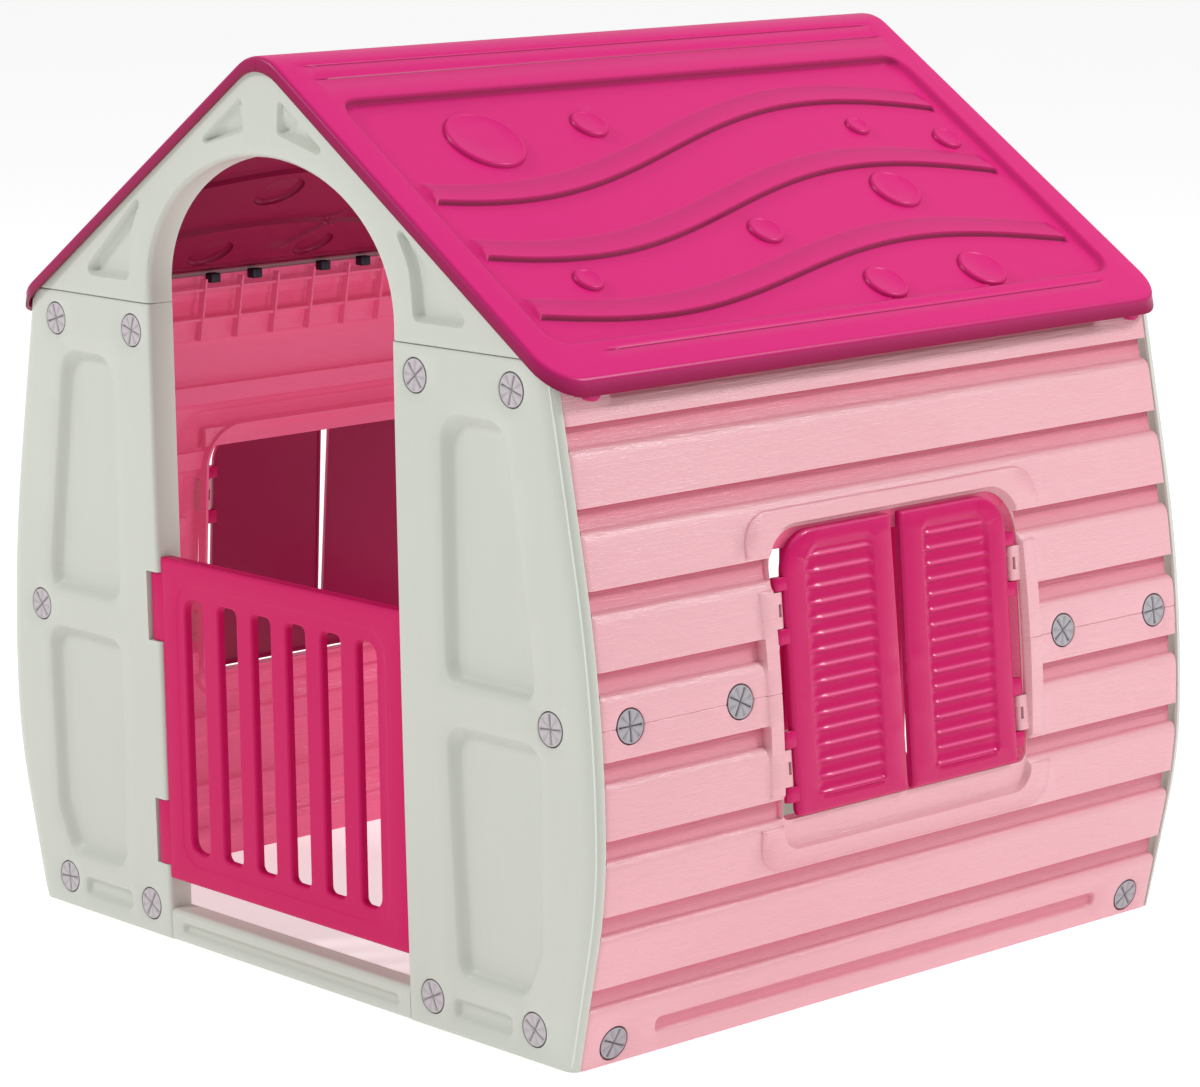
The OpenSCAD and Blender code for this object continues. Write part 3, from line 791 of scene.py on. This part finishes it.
def wall_half(name, z0, z1, rows, spots):
    """The lower or upper half of the right wall, from height z0 to z1, with its grooves and screws."""
    lower = z0 < MID_Z
    seam, inward = (z1, -1) if lower else (z0, 1)
    right, left = [], []
    for a, b in rows:
        notch = [[WALL_Y, a - 3], [WALL_Y - 6, a + 4], [WALL_Y - 6, b - 1], [WALL_Y, b]]
        right += notch
        left = [[-y, z] for y, z in reversed(notch)] + left
    right = [[WALL_Y, z0]] + right + [[WALL_Y, z1]]
    loop = np.array(right + [[-WALL_Y, z1]] + left + [[-WALL_Y, z0]], float)
    # the window is open to the joint between the halves
    if lower:
        hole = rect(-WINDOW_HALF, WINDOW_LO, WINDOW_HALF, z1 + 5, [10, 10, 0, 0], 8)
        trim_z = (213.5, 216, 218.5, 246.5, 248, 249.5)
    else:
        hole = rect(-WINDOW_HALF, z0 - 5, WINDOW_HALF, WINDOW_HI, [0, 0, 44, 44], 10)
        trim_z = (458.5, 460, 461.5, 493.5, 495, 496.5)
    lines = []
    for a, b in rows:
        low_edge = [a + d for d in (-8, -5, -2.5, -0.5, 1.5, 3.2, 4.4, 5)]
        for z in low_edge + [(a + b) / 2, b - 0.8, b, b + 0.3]:
            lines.append(stroke(-WALL_Y, z, WALL_Y, z))
    for s in (1, -1):
        lines += [stroke(s * (WALL_Y - d), z0, s * (WALL_Y - d), z1) for d in (0.4, 1.5, 3.5, 7)]
        lines += [stroke(s * y, max(z0, 244), s * y, min(z1, 464)) for y in (204.6, 206, 207.4)]
    for z in trim_z:
        lines += [stroke(s * 150, z, s * 222, z) for s in (1, -1)]
    for base, offsets in ((trim_outer, (-1.2, 0, 1.2)), (window_rim, (0, 1.3, 2.6, 4))):
        lines += [seam_arc(r, z0 + 0.5, z1 - 0.5, seam) for r in rings(base, offsets)]
    loops = rings(low_slot, (0, 1.2, 2.5, 3.8, 5)) if lower else rings(eave_slot, (0, 1.5, 3))
    loops += well_rings(spots)
    for c in well_rings(WALL_BOLTS):
        part = c[(c[:, 1] > z0 + 0.3) & (c[:, 1] < z1 - 0.3)]
        part = part[np.argsort(part[:, 0])]
        ends = [[part[0][0] - 0.1, MID_Z]], [[part[-1][0] + 0.1, MID_Z]]
        lines.append(np.concatenate([ends[0], part, ends[1]]))

    def top(p):
        joint = round_edge(np.abs(p[:, 1] - MID_Z), 1.6, 1.2)
        return wall_point(p, wall_height(p) + joint)

    def back(p):
        return wall_point(p, np.maximum(wall_height(p) - SKIN, -15))

    joint_lines = sorted(seam + inward * d for d in (0.7, 1.6))
    lines += [stroke(-WALL_Y, z, WALL_Y, z) for z in joint_lines]
    return moulding(
        name, loop, top, back, holes=[hole], creases=loops, strokes=lines,
        step=26, grain=14, marks={"sunk": sunk_mark}, angle=48,
    )


wall_low = wall_half("right_wall_lower_moulding", 0.0, MID_Z - 0.2, low_grooves, CORNER_BOLTS)
wall_up = wall_half("right_wall_upper_moulding", MID_Z + 0.2, 704.0, high_grooves, [])
left_low = turned(wall_low, "left_wall_lower_moulding", "half")
left_up = turned(wall_up, "left_wall_upper_moulding", "half")
finish_piece(wall_low, WALL, "right_wall_lower")
finish_piece(wall_up, WALL, "right_wall_upper")
finish_piece(left_low, WALL, "left_wall_lower")
finish_piece(left_up, WALL, "left_wall_upper")


def leaning(p):
    """From the shutters' leaning frame (out, along, up) to the house."""
    c, s = math.cos(LEAN), math.sin(LEAN)
    out, up = p[:, 0] * c - p[:, 2] * s, p[:, 0] * s + p[:, 2] * c
    return np.stack([SHUTTER_X + out, p[:, 1], SHUTTER_Z + up], 1)


def lug(side_sign, z0, z1):
    """A hinge lug beside the window, with a small slot through it."""
    mid = (z0 + z1) / 2
    whole = [[-5.5, 12], [-5.5, 0], [-4.2, -3.6], [0, -5.5], [4.2, -3.6], [5.5, 0], [5.5, 12]]
    nose = [[-5.2, -1.4], [-4.2, -3.6], [0, -5.5], [4.2, -3.6], [5.2, -1.4]]
    root = [[-5.5, 12], [-5.5, 2.6], [5.5, 2.6], [5.5, 12]]
    parts = [(whole, z0, mid - 6.5, 0.5), (nose, mid - 7, mid + 7, 0.2)]
    parts += [(root, mid - 7, mid + 7, 0.2), (whole, mid + 6.5, z1, 0.5)]
    for line, low, high, bevel in parts:
        placed = np.array(line, float) * [1, side_sign] + [0, side_sign * SHUTTER_Y]
        yield prism("lug", placed, low, high, leaning, bevel)


lug_spans = [(-113.2, -75.1), (50.0, 87.5)]
lugs = [part for s in (1, -1) for span in lug_spans for part in lug(s, *span)]
right_lugs = join("right_window_lugs", lugs)
left_lugs = turned(right_lugs, "left_window_lugs", "half")


def flange():
    """The turned-in edge round the window."""
    out = WINDOW_HALF + 3.5
    outer = rect(-out, WINDOW_LO - 3.5, out, WINDOW_HI + 3.5, [13.5, 13.5, 47.5, 47.5], 10)
    opening = rect(-WINDOW_HALF, WINDOW_LO, WINDOW_HALF, WINDOW_HI, [10, 10, 44, 44], 10)
    verts, faces = [], []
    for (a, b), (c, d) in zip(outer, opening):
        x_out, x_in = float(wall_x(b)), float(wall_x(d))
        verts += [[x_out - 8, a, b], [x_out - 22, a, b], [x_in - 22, c, d], [x_in - 7, c, d]]
    for i in range(len(outer)):
        j = (i + 1) % len(outer)
        faces += [(4 * i + k, 4 * i + (k + 1) % 4, 4 * j + (k + 1) % 4, 4 * j + k) for k in range(4)]
    return make("flange", verts, faces, {"inner": np.ones(len(verts))})


# the straight lip behind the top of the window that the closed shutters meet
stop_lip = prism("stop_lip", rect(465.4, 496.5, 470.2, 519, 1.2, 3), -187, 187, lengthways, 0.6)
window_flange = join("right_window_flange", [flange(), stop_lip])
# ribs and shelves under the eave
RIB_LO, RIB_HI, RIB_OUT, RIB_IN = 628, 702, 13.0, 24.0
low_x, high_x = float(wall_x(RIB_LO)), float(wall_x(RIB_HI))
rib = [[low_x - RIB_OUT, RIB_LO], [low_x - RIB_IN, RIB_LO]]
rib += [[high_x - RIB_IN, RIB_HI], [high_x - RIB_OUT, RIB_HI]]
ribs = [prism("rib", rib, i * 53 - 1.5, i * 53 + 1.5, lengthways, 0.5) for i in range(-6, 7)]
for z in (652, 688):
    x = float(wall_x(z))
    shelf = [[x - RIB_OUT, z], [x - 22, z], [x - 22, z + 3], [x - RIB_OUT, z + 3]]
    ribs.append(prism("rib", shelf, -370, 370, lengthways, 0.5))
rib_rows = join("right_wall_ribs", ribs)
# the ribs and the window flange take the wall's inside colour, a darker pink as painted shade, and its glow
# as painted light
set_inner(rib_rows, 1)
set_inner(window_flange, 1)
left_ribs = turned(rib_rows, "left_wall_ribs", "half")
left_flange = turned(window_flange, "left_window_flange", "half")
for piece in (right_lugs, left_lugs, window_flange, left_flange, rib_rows, left_ribs):
    finish_piece(piece, WALL)

# ---- roof
COS, SIN = math.cos(SLOPE), math.sin(SLOPE)
roof_field = rect(100 * COS, -415, 505 * COS, 415, 26, 8)
RIM_H = 16.0
discs = [(-266, 179, 46), (-112, 168, 22), (-12, 367, 21), (-296, 409, 17), (258, 213, 15)]
discs += [(372, 249, 18), (222, 325, 31), (82, 470, 26), (233, 468, 29)]
disc_at = [(s * COS, y, r) for y, s, r in discs]
WAVES = ((221.5, 56.5, 35.0, 1020.0), (327.0, 48.0, 30.0, 940.0), (439.5, 34.5, 25.0, 850.0))
WAVE_RISE, WAVE_W, WAVE_END = 5.0, 32.0, 396
# crossed ribs and a boss on the underside
BOSS_X, CROSS_SLOPE = 246, 0.9
# straight grooves: distance down the slope, ends, and how much shade is painted in them
ROOF_GROOVES = ((42, -420, 420, 0.8), (65, -420, 420, 0.8), (519, -364, 381, 0.7))


def wave_s(k, y):
    mid, swing, shift, length = WAVES[k]
    return mid - swing * np.sin((y + shift) * 2 * math.pi / length)


def disc_depth(p, cx, cy, r):
    return r - np.hypot((p[:, 0] - cx) / COS, p[:, 1] - cy)


def roof_height(p):
    s, y = p[:, 0] / COS, p[:, 1]
    h = -7.5 * soft(depth_in(roof_field, p) / (4 + 4 * soft((s - 106) / 14)))
    ends = np.clip((WAVE_END - np.abs(y)) / 3.0, 0, 1)
    for k in range(3):
        past = s - wave_s(k, y)
        climb = 0.85 * np.clip((past + WAVE_W) / WAVE_W, 0, 1) + 0.15 * np.clip((past + WAVE_W) / 3.0, 0, 1)
        up = np.where(past <= 0, climb, np.clip(1 - past / 3.0, 0, 1))
        h = h + WAVE_RISE * up * ends
    for disc in disc_at:
        d = disc_depth(p, *disc)
        h = h + 4.8 * np.sqrt(1 - (1 - np.clip(d / 3.6, 0, 1)) ** 2) - 1.1 * soft((d - 4.2) / 2.2)
    for at, y0, y1, _ in ROOF_GROOVES:
        h = h - 1.6 * np.clip(1 - np.abs(s - at) / 1.6, 0, 1) * ((y > y0) & (y < y1))
    return h


def roof_sunk(p):
    """Painted shade beside the waves, discs, grooves, the border of the field and the rim."""
    s, y = p[:, 0] / COS, p[:, 1]
    out = np.zeros(len(p))
    ends = np.abs(y) < WAVE_END
    for k in range(3):
        past = s - wave_s(k, y)
        out = np.maximum(out, np.clip(1.25 - np.abs(past - 2.4) / 2.4, 0, 1) * ends)
        ramp = np.clip((past + WAVE_W) / 4, 0, 1) * np.clip(-past / WAVE_W, 0, 1)
        out = np.maximum(out, 0.28 * ramp * ends)
    border = depth_in(roof_field, p)
    out = np.maximum(out, np.clip(1 - np.abs(border - 2.5) / 3.5, 0, 1) * (s < 112))
    out = np.maximum(out, np.clip(1 - np.abs(border - 4) / 5, 0, 1) * 0.35)
    for disc in disc_at:
        out = np.maximum(out, 0.5 * np.clip(1 - np.abs(disc_depth(p, *disc) - 0.4) / 1.8, 0, 1))
    out = np.maximum(out, 0.75 * np.clip(1 - gap(roof_line, p, False) / 5, 0, 1))
    for at, y0, y1, dark in ROOF_GROOVES:
        out = np.maximum(out, dark * np.clip(1 - np.abs(s - at) / 1.4, 0, 1) * ((y > y0) & (y < y1)))
    return out


def roof_point(x, y, h):
    arc = np.clip(np.abs(x) / (RIDGE_R * SIN), 0, 1)
    nx = SIN * arc
    nz = np.sqrt(1 - nx * nx)
    return np.stack([x + h * nx, y, roof_z(x) + h * nz], 1)


def roof_loop(d):
    """The outline of the roof half, moved in by d from the rim."""
    y, r = roof_half_depth - d, 40 - d
    return rect(0.15, -y, eave_x - d, y, [0, r, r, 0], 10)


roof_line = roof_loop(0)
roof_inner = roof_loop(SKIN)


def roof_top(p):
    h = roof_height(p) + round_edge(gap(roof_line, p, False), 6, 5)
    return roof_point(p[:, 0], p[:, 1], h)


def roof_back(p):
    x, y = p[:, 0], p[:, 1]
    field = depth_in(roof_field, p)
    run = (x - BOSS_X) * CROSS_SLOPE
    off_rib = np.minimum(np.abs(run - y), np.abs(run + y)) / 1.35
    cross = soft((7 - off_rib) / 2) * (field > 16)
    boss = soft((38 - np.hypot((x - BOSS_X) / COS, y)) / 3)
    return roof_point(x, y, roof_height(p) - 4.2 - 3.0 * np.maximum(cross, boss))


def roof_rim(p):
    return np.stack([p[:, 0], p[:, 1], roof_z(p[:, 0]) - RIM_H], 1)


roof_strokes = []
ys = np.linspace(-393, 393, 61)
for k in range(3):
    for off in (-WAVE_W - 2, -WAVE_W, 4 - WAVE_W, -WAVE_W * 0.5, -1.5, 0, 1.5, 3.0, 5.4, 7.5):
        roof_strokes.append(np.stack([(wave_s(k, ys) + off) * COS, ys], 1))
    for y in (-WAVE_END, -393, 393, WAVE_END):
        roof_strokes.append(stroke((wave_s(k, y) - WAVE_W) * COS, y, (wave_s(k, y) + 6) * COS, y))
for at, y0, y1, _ in ROOF_GROOVES:
    for off in (-1.7, 0, 1.7):
        roof_strokes.append(stroke((at + off) * COS, y0, (at + off) * COS, y1))
for q in range(1, 6):
    x = RIDGE_R * SIN * q / 5
    roof_strokes.append(stroke(x, -roof_half_depth, x, roof_half_depth))
roof_strokes += [roof_loop(d) for d in (0.5, 1.6, 3.6, 6)]
roof_creases = rings(roof_field, (-2.5, 0, 2, 4, 6, 8, 10)) + [roof_inner]
for x, y, r in disc_at:
    for q in (-1.6, 0.0, 0.4, 1.2, 2.4, 3.6, 4.4, 5.4, 6.6):
        roof_creases.append(circle(0, 0, r - q, 44) * [COS, 1] + [x, y])
for slant in (CROSS_SLOPE, -CROSS_SLOPE):
    for off in (-9.5, -6.7, 6.7, 9.5):
        ends = [slant * (x - BOSS_X) + off for x in (110, 385)]
        roof_strokes.append(stroke(110, ends[0], 385, ends[1]))
roof_right = moulding(
    "roof_right_moulding",
    roof_line,
    roof_top,
    roof_back,
    creases=roof_creases,
    strokes=roof_strokes,
    deep=lambda c: ~inside(roof_inner, c),
    rim=roof_rim,
    step=24,
    grain=12,
    marks={"sunk": roof_sunk},
    angle=50,
    # painted shade on the rim's outer face
    rim_painted_shade=0.75,
)
roof_left = turned(roof_right, "roof_left_moulding", "half")
finish_piece(roof_right, ROOF, "roof_right")
finish_piece(roof_left, ROOF, "roof_left")

# ---- clips and pegs under the eaves
def out_of_wall(turn):
    """For a prism that sticks out of the right wall, 1, or the left, -1: its outline is y, z."""
    return lambda p: np.stack([turn * p[:, 2], p[:, 0], p[:, 1]], 1)


clips = []
for turn in (1, -1):
    for y in (-193.5, -132.5, -30.5, 30.5, 132.5, 193.5):
        clips.append(prism("clip", rect(426, y - 7, 439, y + 7, 2, 3) * turn, 696, 707, upright, 0.8))
finish_piece(join("eave_clips", clips), CLIP, "roof_clips")
pegs = []
for turn in (1, -1):
    for y in (400, -400):
        pegs.append(prism("peg", circle(y, 684, 10, 28), 449.6, 461.8, out_of_wall(turn), 2.0))
peg_heads = join("eave_peg_heads", pegs)
# the pegs take part of the roof's darker inside colour: painted shade under the eave
set_inner(peg_heads, 0.45)
finish_piece(peg_heads, ROOF, "eave_pegs")


# ---- screws
def bolt_head(place, depth=6.0, twist=0.0):
    """A flat head with a cross of grooves and eight shallow fan-shaped facets."""
    n, r = 64, 17.6
    # radius of each ring, and the height of the rings past the facets
    radii = [0.0, 1.6, 4, 7, 10, 12.4, 14.2, 15.2, 16.0, 16.8, 17.3, r, r, r - 0.5]
    edge_heights = {9: -0.55, 10: -0.9, 11: -2.2, 12: -depth, 13: -depth}
    verts, marks, faces = [], [], []
    for j, q in enumerate(radii):
        for i in range(n):
            a = 2 * math.pi * i / n
            t = a + twist
            cut = 0.0
            if q < 15.5:
                cut -= 1.5 * max(0, 1 - abs(math.sin(2 * t)) * q / 2 / 1.3)
                cut -= 0.5 * max(0, 1 - abs(math.sin(4 * t)) * q / 4 / 0.7)
                cut -= 0.5 * (math.cos(8 * t) * 0.5 + 0.5) * (q / 15)
            verts.append([q * math.cos(a), q * math.sin(a), edge_heights.get(j, cut - 0.5)])
            # the mark paints shade into the cross grooves and onto the edge and side of the head
            marks.append(min(1.0, max(0, -cut / 1.6)) * 0.9 if j < 10 else 1.0)
    faces += [(i, n + i, n + (i + 1) % n) for i in range(n)]
    for low in range(n, n * (len(radii) - 1), n):
        high = low + n
        faces += [(low + i, high + i, high + (i + 1) % n, low + (i + 1) % n) for i in range(n)]
    faces.append(tuple(range(n * (len(radii) - 1), n * len(radii))))
    return make("bolt", place(np.array(verts)), faces, {"sunk": marks, "inner": np.zeros(len(verts))}, 35)


def on_face(x, z):
    y = -float(face_y(np.array([x]), np.array([z]))[0])
    return lambda p: np.stack([x + p[:, 0], y - p[:, 2], z + p[:, 1]], 1)


front_bolts = []
for s in (1, -1):
    for i, (x, z) in enumerate(bolts_at):
        front_bolts.append(bolt_head(on_face(s * x, z), twist=0.6 * i + 0.3 * s))
front_bolts = join("front_bolts", front_bolts)
back_bolts = turned(front_bolts, "back_bolts", "y")


def on_wall(y, z):
    lean = float(wall_x(z + 1) - wall_x(z - 1)) / 2
    n, x = math.hypot(1, lean), float(wall_x(z))

    def place(p):
        out, up = (p[:, 2] + p[:, 1] * lean) / n, (p[:, 1] - p[:, 2] * lean) / n
        return np.stack([x + out, y + p[:, 0], z + up], 1)

    return place


side_bolts = []
for i, (y, z) in enumerate(WALL_BOLTS + CORNER_BOLTS):
    side_bolts.append(bolt_head(on_wall(y, z), depth=4.5, twist=0.5 * i))
side_bolts = join("right_wall_bolts", side_bolts)
left_bolts = turned(side_bolts, "left_wall_bolts", "half")
finish_piece(front_bolts, BOLT, "front_screws")
finish_piece(back_bolts, BOLT, "back_screws")
finish_piece(side_bolts, SIDE_BOLT, "right_wall_screws")
finish_piece(left_bolts, SIDE_BOLT, "left_wall_screws")


# ---- half door and back infill
def bar_slots():
    for i in range(6):
        x = -149.5 + 59.8 * i
        a, b = (15 if i == 0 else 8), (15 if i == 5 else 8)
        yield rect(x - 16, 109, x + 16, 394, [a, b, b, a], 6)


slots = list(bar_slots())
slot_rims = [grow(sl, 3.2) for sl in slots]
door_field = rect(-182, 92, 182, 411, 30, 8)


def slotted(name, x0, z0, x1, z1, front_y, thick):
    """A plate with six tall slots, its edges and slots turned in."""
    plate_in = rect(x0 + SKIN, z0 + SKIN, x1 - SKIN, z1 - SKIN, 3, 3)

    def top(p):
        x, z = p[:, 0], p[:, 1]
        h = -0.5 * soft(depth_in(door_field, p) / 3)
        for sl in slots:
            h = h + round_edge(gap(sl, p), 3, 3) * (gap(sl, p) < 3.2)
        d = np.minimum(np.minimum(x - x0, x1 - x), np.minimum(z - z0, z1 - z))
        return at_depth(p, front_y + h + round_edge(d, 4, 4))

    def deep(c):
        out = ~inside(plate_in, c)
        for sl in slot_rims:
            out |= inside(sl, c)
        return out

    def rim(p):
        by_slot = np.min([gap(sl, p) for sl in slots], 0) < 3.6
        return at_depth(p, front_y - np.where(by_slot, 9.5, thick))

    creases = rings(door_field, (0, 1, 2, 3)) + slot_rims + [plate_in]
    for sl in slots:
        creases += [grow(sl, q) for q in (0.5, 1.5, 3.0)]
    creases += [rect(x0 + q, z0 + q, x1 - q, z1 - q, 3, 3) for q in (0.5, 1.6, 2.8)]
    return moulding(
        name, rect(x0, z0, x1, z1, 3, 4), top, lambda p: at_depth(p, front_y - 4.5),
        holes=slots, creases=creases, deep=deep, rim=rim, step=26, grain=16,
    )


door_plate = slotted("door_plate", -208.5, 71, 212.5, 435.5, 444.0, 14.0)
knuckles = []
for z0, z1 in ((86.5, 159.5), (340.5, 417.5)):
    sweep = np.linspace(math.pi / 2, 3 * math.pi / 2, 11)
    arc = [[HINGE_X + 8 * math.cos(a), HINGE_Y + 8 * math.sin(a)] for a in sweep]
    line = arc + [[-205, HINGE_Y - 7.0], [-205, HINGE_Y + 6.9]]
    knuckles.append(prism("knuckle", line, z0, z1, upright, 1.0))
door_piece = join("half_door", [door_plate] + knuckles)
finish_piece(door_piece, DOOR, "door", "door_stile", "door_rails", "door_bars", body="door")
infill = slotted("back_infill_plate", -door_half + 0.4, 40, door_half - 0.4, 434, 443.5, 13.0)
infill_piece = turned(infill, "back_infill_moulding", "y")
bpy.data.objects.remove(infill)
finish_piece(infill_piece, DOOR, "back_infill")

# ---- shutters
leaf_line = rounded([[3.0, -147], [167, -147], [167, 147], [6.4, 147]], [3, 9, 42, 3], 12)
leaf_inner = rounded([[6.2, -143.8], [163.8, -143.8], [163.8, 143.8], [9.6, 143.8]], [2, 6, 39, 2], 12)
louvre_field = rect(35, -134, 139, 132, [12, 14, 26, 12], 8)
LOUVRES, LOUVRE_STEP = 16, 16.4
louvre_z = [-127 + LOUVRE_STEP * i for i in range(LOUVRES)]


def leaf_height(p):
    y, z = p[:, 0], p[:, 1]
    h = -3.6 * soft(depth_in(louvre_field, p) / 8)
    ends = soft((y - 36) / 10) * soft((141 - y) / 24)
    # the uppermost louvres stop short of the round corner
    rounding = 100 - 31 + 0.9 * np.maximum(y - 100, 0)
    for z0 in louvre_z:
        t = (z - z0) / (LOUVRE_STEP - 2.5)
        nose = np.sqrt(np.clip(1 - (t * 4.2) ** 2, 0, 1))
        slat = np.where(t < 0, nose, np.clip(1 - t, 0, 1) ** 2.6)
        corner = soft((z0 - rounding) / 12) if z0 > 100 else 1
        h = h + 3.8 * slat * ends * corner
    return h


def leaf_painted_highlight(p):
    """1 where a highlight is painted: on the crests of the louvres and along the top edge."""
    y, z = p[:, 0], p[:, 1]
    ends = soft((y - 38) / 12) * soft((138 - y) / 14) * (depth_in(louvre_field, p) > 5)
    crest = np.max([np.clip(1 - np.abs(z - z0 - 0.8) / 1.6, 0, 1) for z0 in louvre_z], 0) * ends
    upper = np.clip(1 - np.abs(gap(leaf_line, p) - 1.9) / 1.5, 0, 1) * soft((z - 128) / 12) * (y > 8)
    return 0.75 * crest + 0.6 * upper


def leaf_at(p, out):
    """Points y, z of a shutter, at a distance out from the middle of its hinges."""
    return np.stack([np.zeros(len(p)) + out, p[:, 0], p[:, 1]], 1)


def leaf_top(p):
    return leaf_at(p, 6 + leaf_height(p) + round_edge(gap(leaf_line, p), 7, 5.5))


leaf_lines = []
for z0 in louvre_z:
    for q in (-3.3, -2.9, -1.9, -0.9, 0.0, 0.8, 1.8, 3.0, 5.0, 8.5):
        leaf_lines.append(stroke(37, z0 + q, 137, z0 + q))
leaf_lines += [stroke(x, -133, x, 131) for x in (39, 41.5, 44, 46, 117, 122, 127, 132)]
leaf_creases = rings(louvre_field, (0, 1.7, 3.5, 5.3, 7))
leaf_creases += [grow(leaf_line, -q) for q in (0.4, 1.4, 3.2, 6)] + [leaf_inner]
leaf = moulding(
    "leaf",
    leaf_line,
    leaf_top,
    lambda p: leaf_at(p, -1.5),
    creases=leaf_creases,
    strokes=leaf_lines,
    deep=lambda c: ~inside(leaf_inner, c),
    rim=lambda p: leaf_at(p, -3.0),
    step=20,
    grain=12,
    marks={"sunk": leaf_painted_highlight},
)
sweep = np.linspace(-math.pi / 2, math.pi / 2, 9)
arc = [[5.4 * math.sin(a), SHUTTER_Y + 5.4 * math.cos(a)] for a in sweep]
tab_line = arc + [[5.0, 163], [-5.0, 163]]
tab_spans = [(-130.4, -114.0), (-74.3, -56.1), (33.1, 49.2), (88.3, 102.4)]
tabs = [prism("tab", tab_line, z0, z1, upright, 0.7) for z0, z1 in tab_spans]
flat_leaf = join("flat_leaf", [leaf] + tabs)


def hang(name, mirror_y, turn):
    """A shutter put in place: mirrored along the wall, leant, and turned to its side of the house."""
    mesh = flat_leaf.data.copy()
    lean = Matrix.Translation((SHUTTER_X * MM, 0, SHUTTER_Z * MM)) @ Matrix.Rotation(-LEAN, 4, "Y")
    mesh.transform(Matrix.Diagonal((turn, turn, 1, 1)) @ lean @ Matrix.Diagonal((1, mirror_y, 1, 1)))
    if mirror_y < 0:
        mesh.flip_normals()
    return link(name, mesh)


shutters = [("right_front_shutter", -1, 1), ("right_back_shutter", 1, 1)]
shutters += [("left_front_shutter", 1, -1), ("left_back_shutter", -1, -1)]
for name, mirror_y, turn in shutters:
    finish_piece(hang(name + "_leaf", mirror_y, turn), LEAF, name, body=name)
bpy.data.objects.remove(flat_leaf)

# the hinge pins keep their CAD shape
for node in ("door_hinge_pins", "right_shutter_pins", "left_shutter_pins"):
    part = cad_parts[node]
    part.data.materials.clear()
    part.data.materials.append(PIN)

# ---- floor, light and camera
bpy.ops.mesh.primitive_plane_add(size=40, location=(0, 0, cad_box[0][2] - 0.0005))
floor = bpy.context.object
floor.name = "studio_floor"
paper = Finish("pale_floor")
cloud = paper.noise(0.6, paper.where())
tint = paper.mix(cloud, (0.93, 0.93, 0.93, 1), (0.95, 0.95, 0.95, 1))
paper.put(paper.shader.inputs["Base Color"], tint)
paper.shader.inputs["Emission Color"].default_value = (1, 1, 1, 1)
paper.shader.inputs["Emission Strength"].default_value = 0.42
paper.shader.inputs["Roughness"].default_value = 0.9
paper.shader.inputs["Specular IOR Level"].default_value = 0.1
floor.data.materials.append(paper.mat)

world = bpy.data.worlds.new("studio")
bpy.context.scene.world = world
world.use_nodes = True
world.node_tree.nodes["Background"].inputs["Color"].default_value = (1, 1, 1, 1)
world.node_tree.nodes["Background"].inputs["Strength"].default_value = 0.55
bpy.context.scene.view_settings.view_transform = "Standard"


def soft_light(name, at, aim, size, power):
    lamp = bpy.data.lights.new(name, "AREA")
    lamp.shape, lamp.size, lamp.energy = "DISK", size, power
    item = link(name, lamp)
    item.location = at
    item.rotation_euler = (Vector(aim) - Vector(at)).to_track_quat("-Z", "Y").to_euler()


soft_light("front_key", (-2.4, -3.6, 4.2), (0, 0, 0.4), 1.2, 112)
soft_light("side_key", (3.2, 2.55, 3.7), (0.4, 0, 0.4), 1.1, 116)
soft_light("inside_fill", (0.15, -0.1, 0.55), (-0.5, 0.3, 0.5), 0.3, 1.2)

AZ, EL, ROLL = math.radians(48.078), math.radians(10.821), math.radians(0.726)
back_axis = Vector((math.sin(AZ) * math.cos(EL), -math.cos(AZ) * math.cos(EL), math.sin(EL)))
right_axis = Vector((math.cos(AZ), math.sin(AZ), 0))
up_axis = back_axis.cross(right_axis)
right_r = right_axis * math.cos(ROLL) - up_axis * math.sin(ROLL)
up_r = right_axis * math.sin(ROLL) + up_axis * math.cos(ROLL)
camera_data = bpy.data.cameras.new("camera")
camera_data.lens, camera_data.sensor_width = 122.65, 36
camera = link("camera", camera_data)
spot = Vector((0, 0.0187, 0.4146)) + back_axis * 4.6406
rows = [(right_r[i], up_r[i], back_axis[i], spot[i]) for i in range(3)]
camera.matrix_world = Matrix(rows + [(0, 0, 0, 1)])
bpy.context.scene.camera = camera
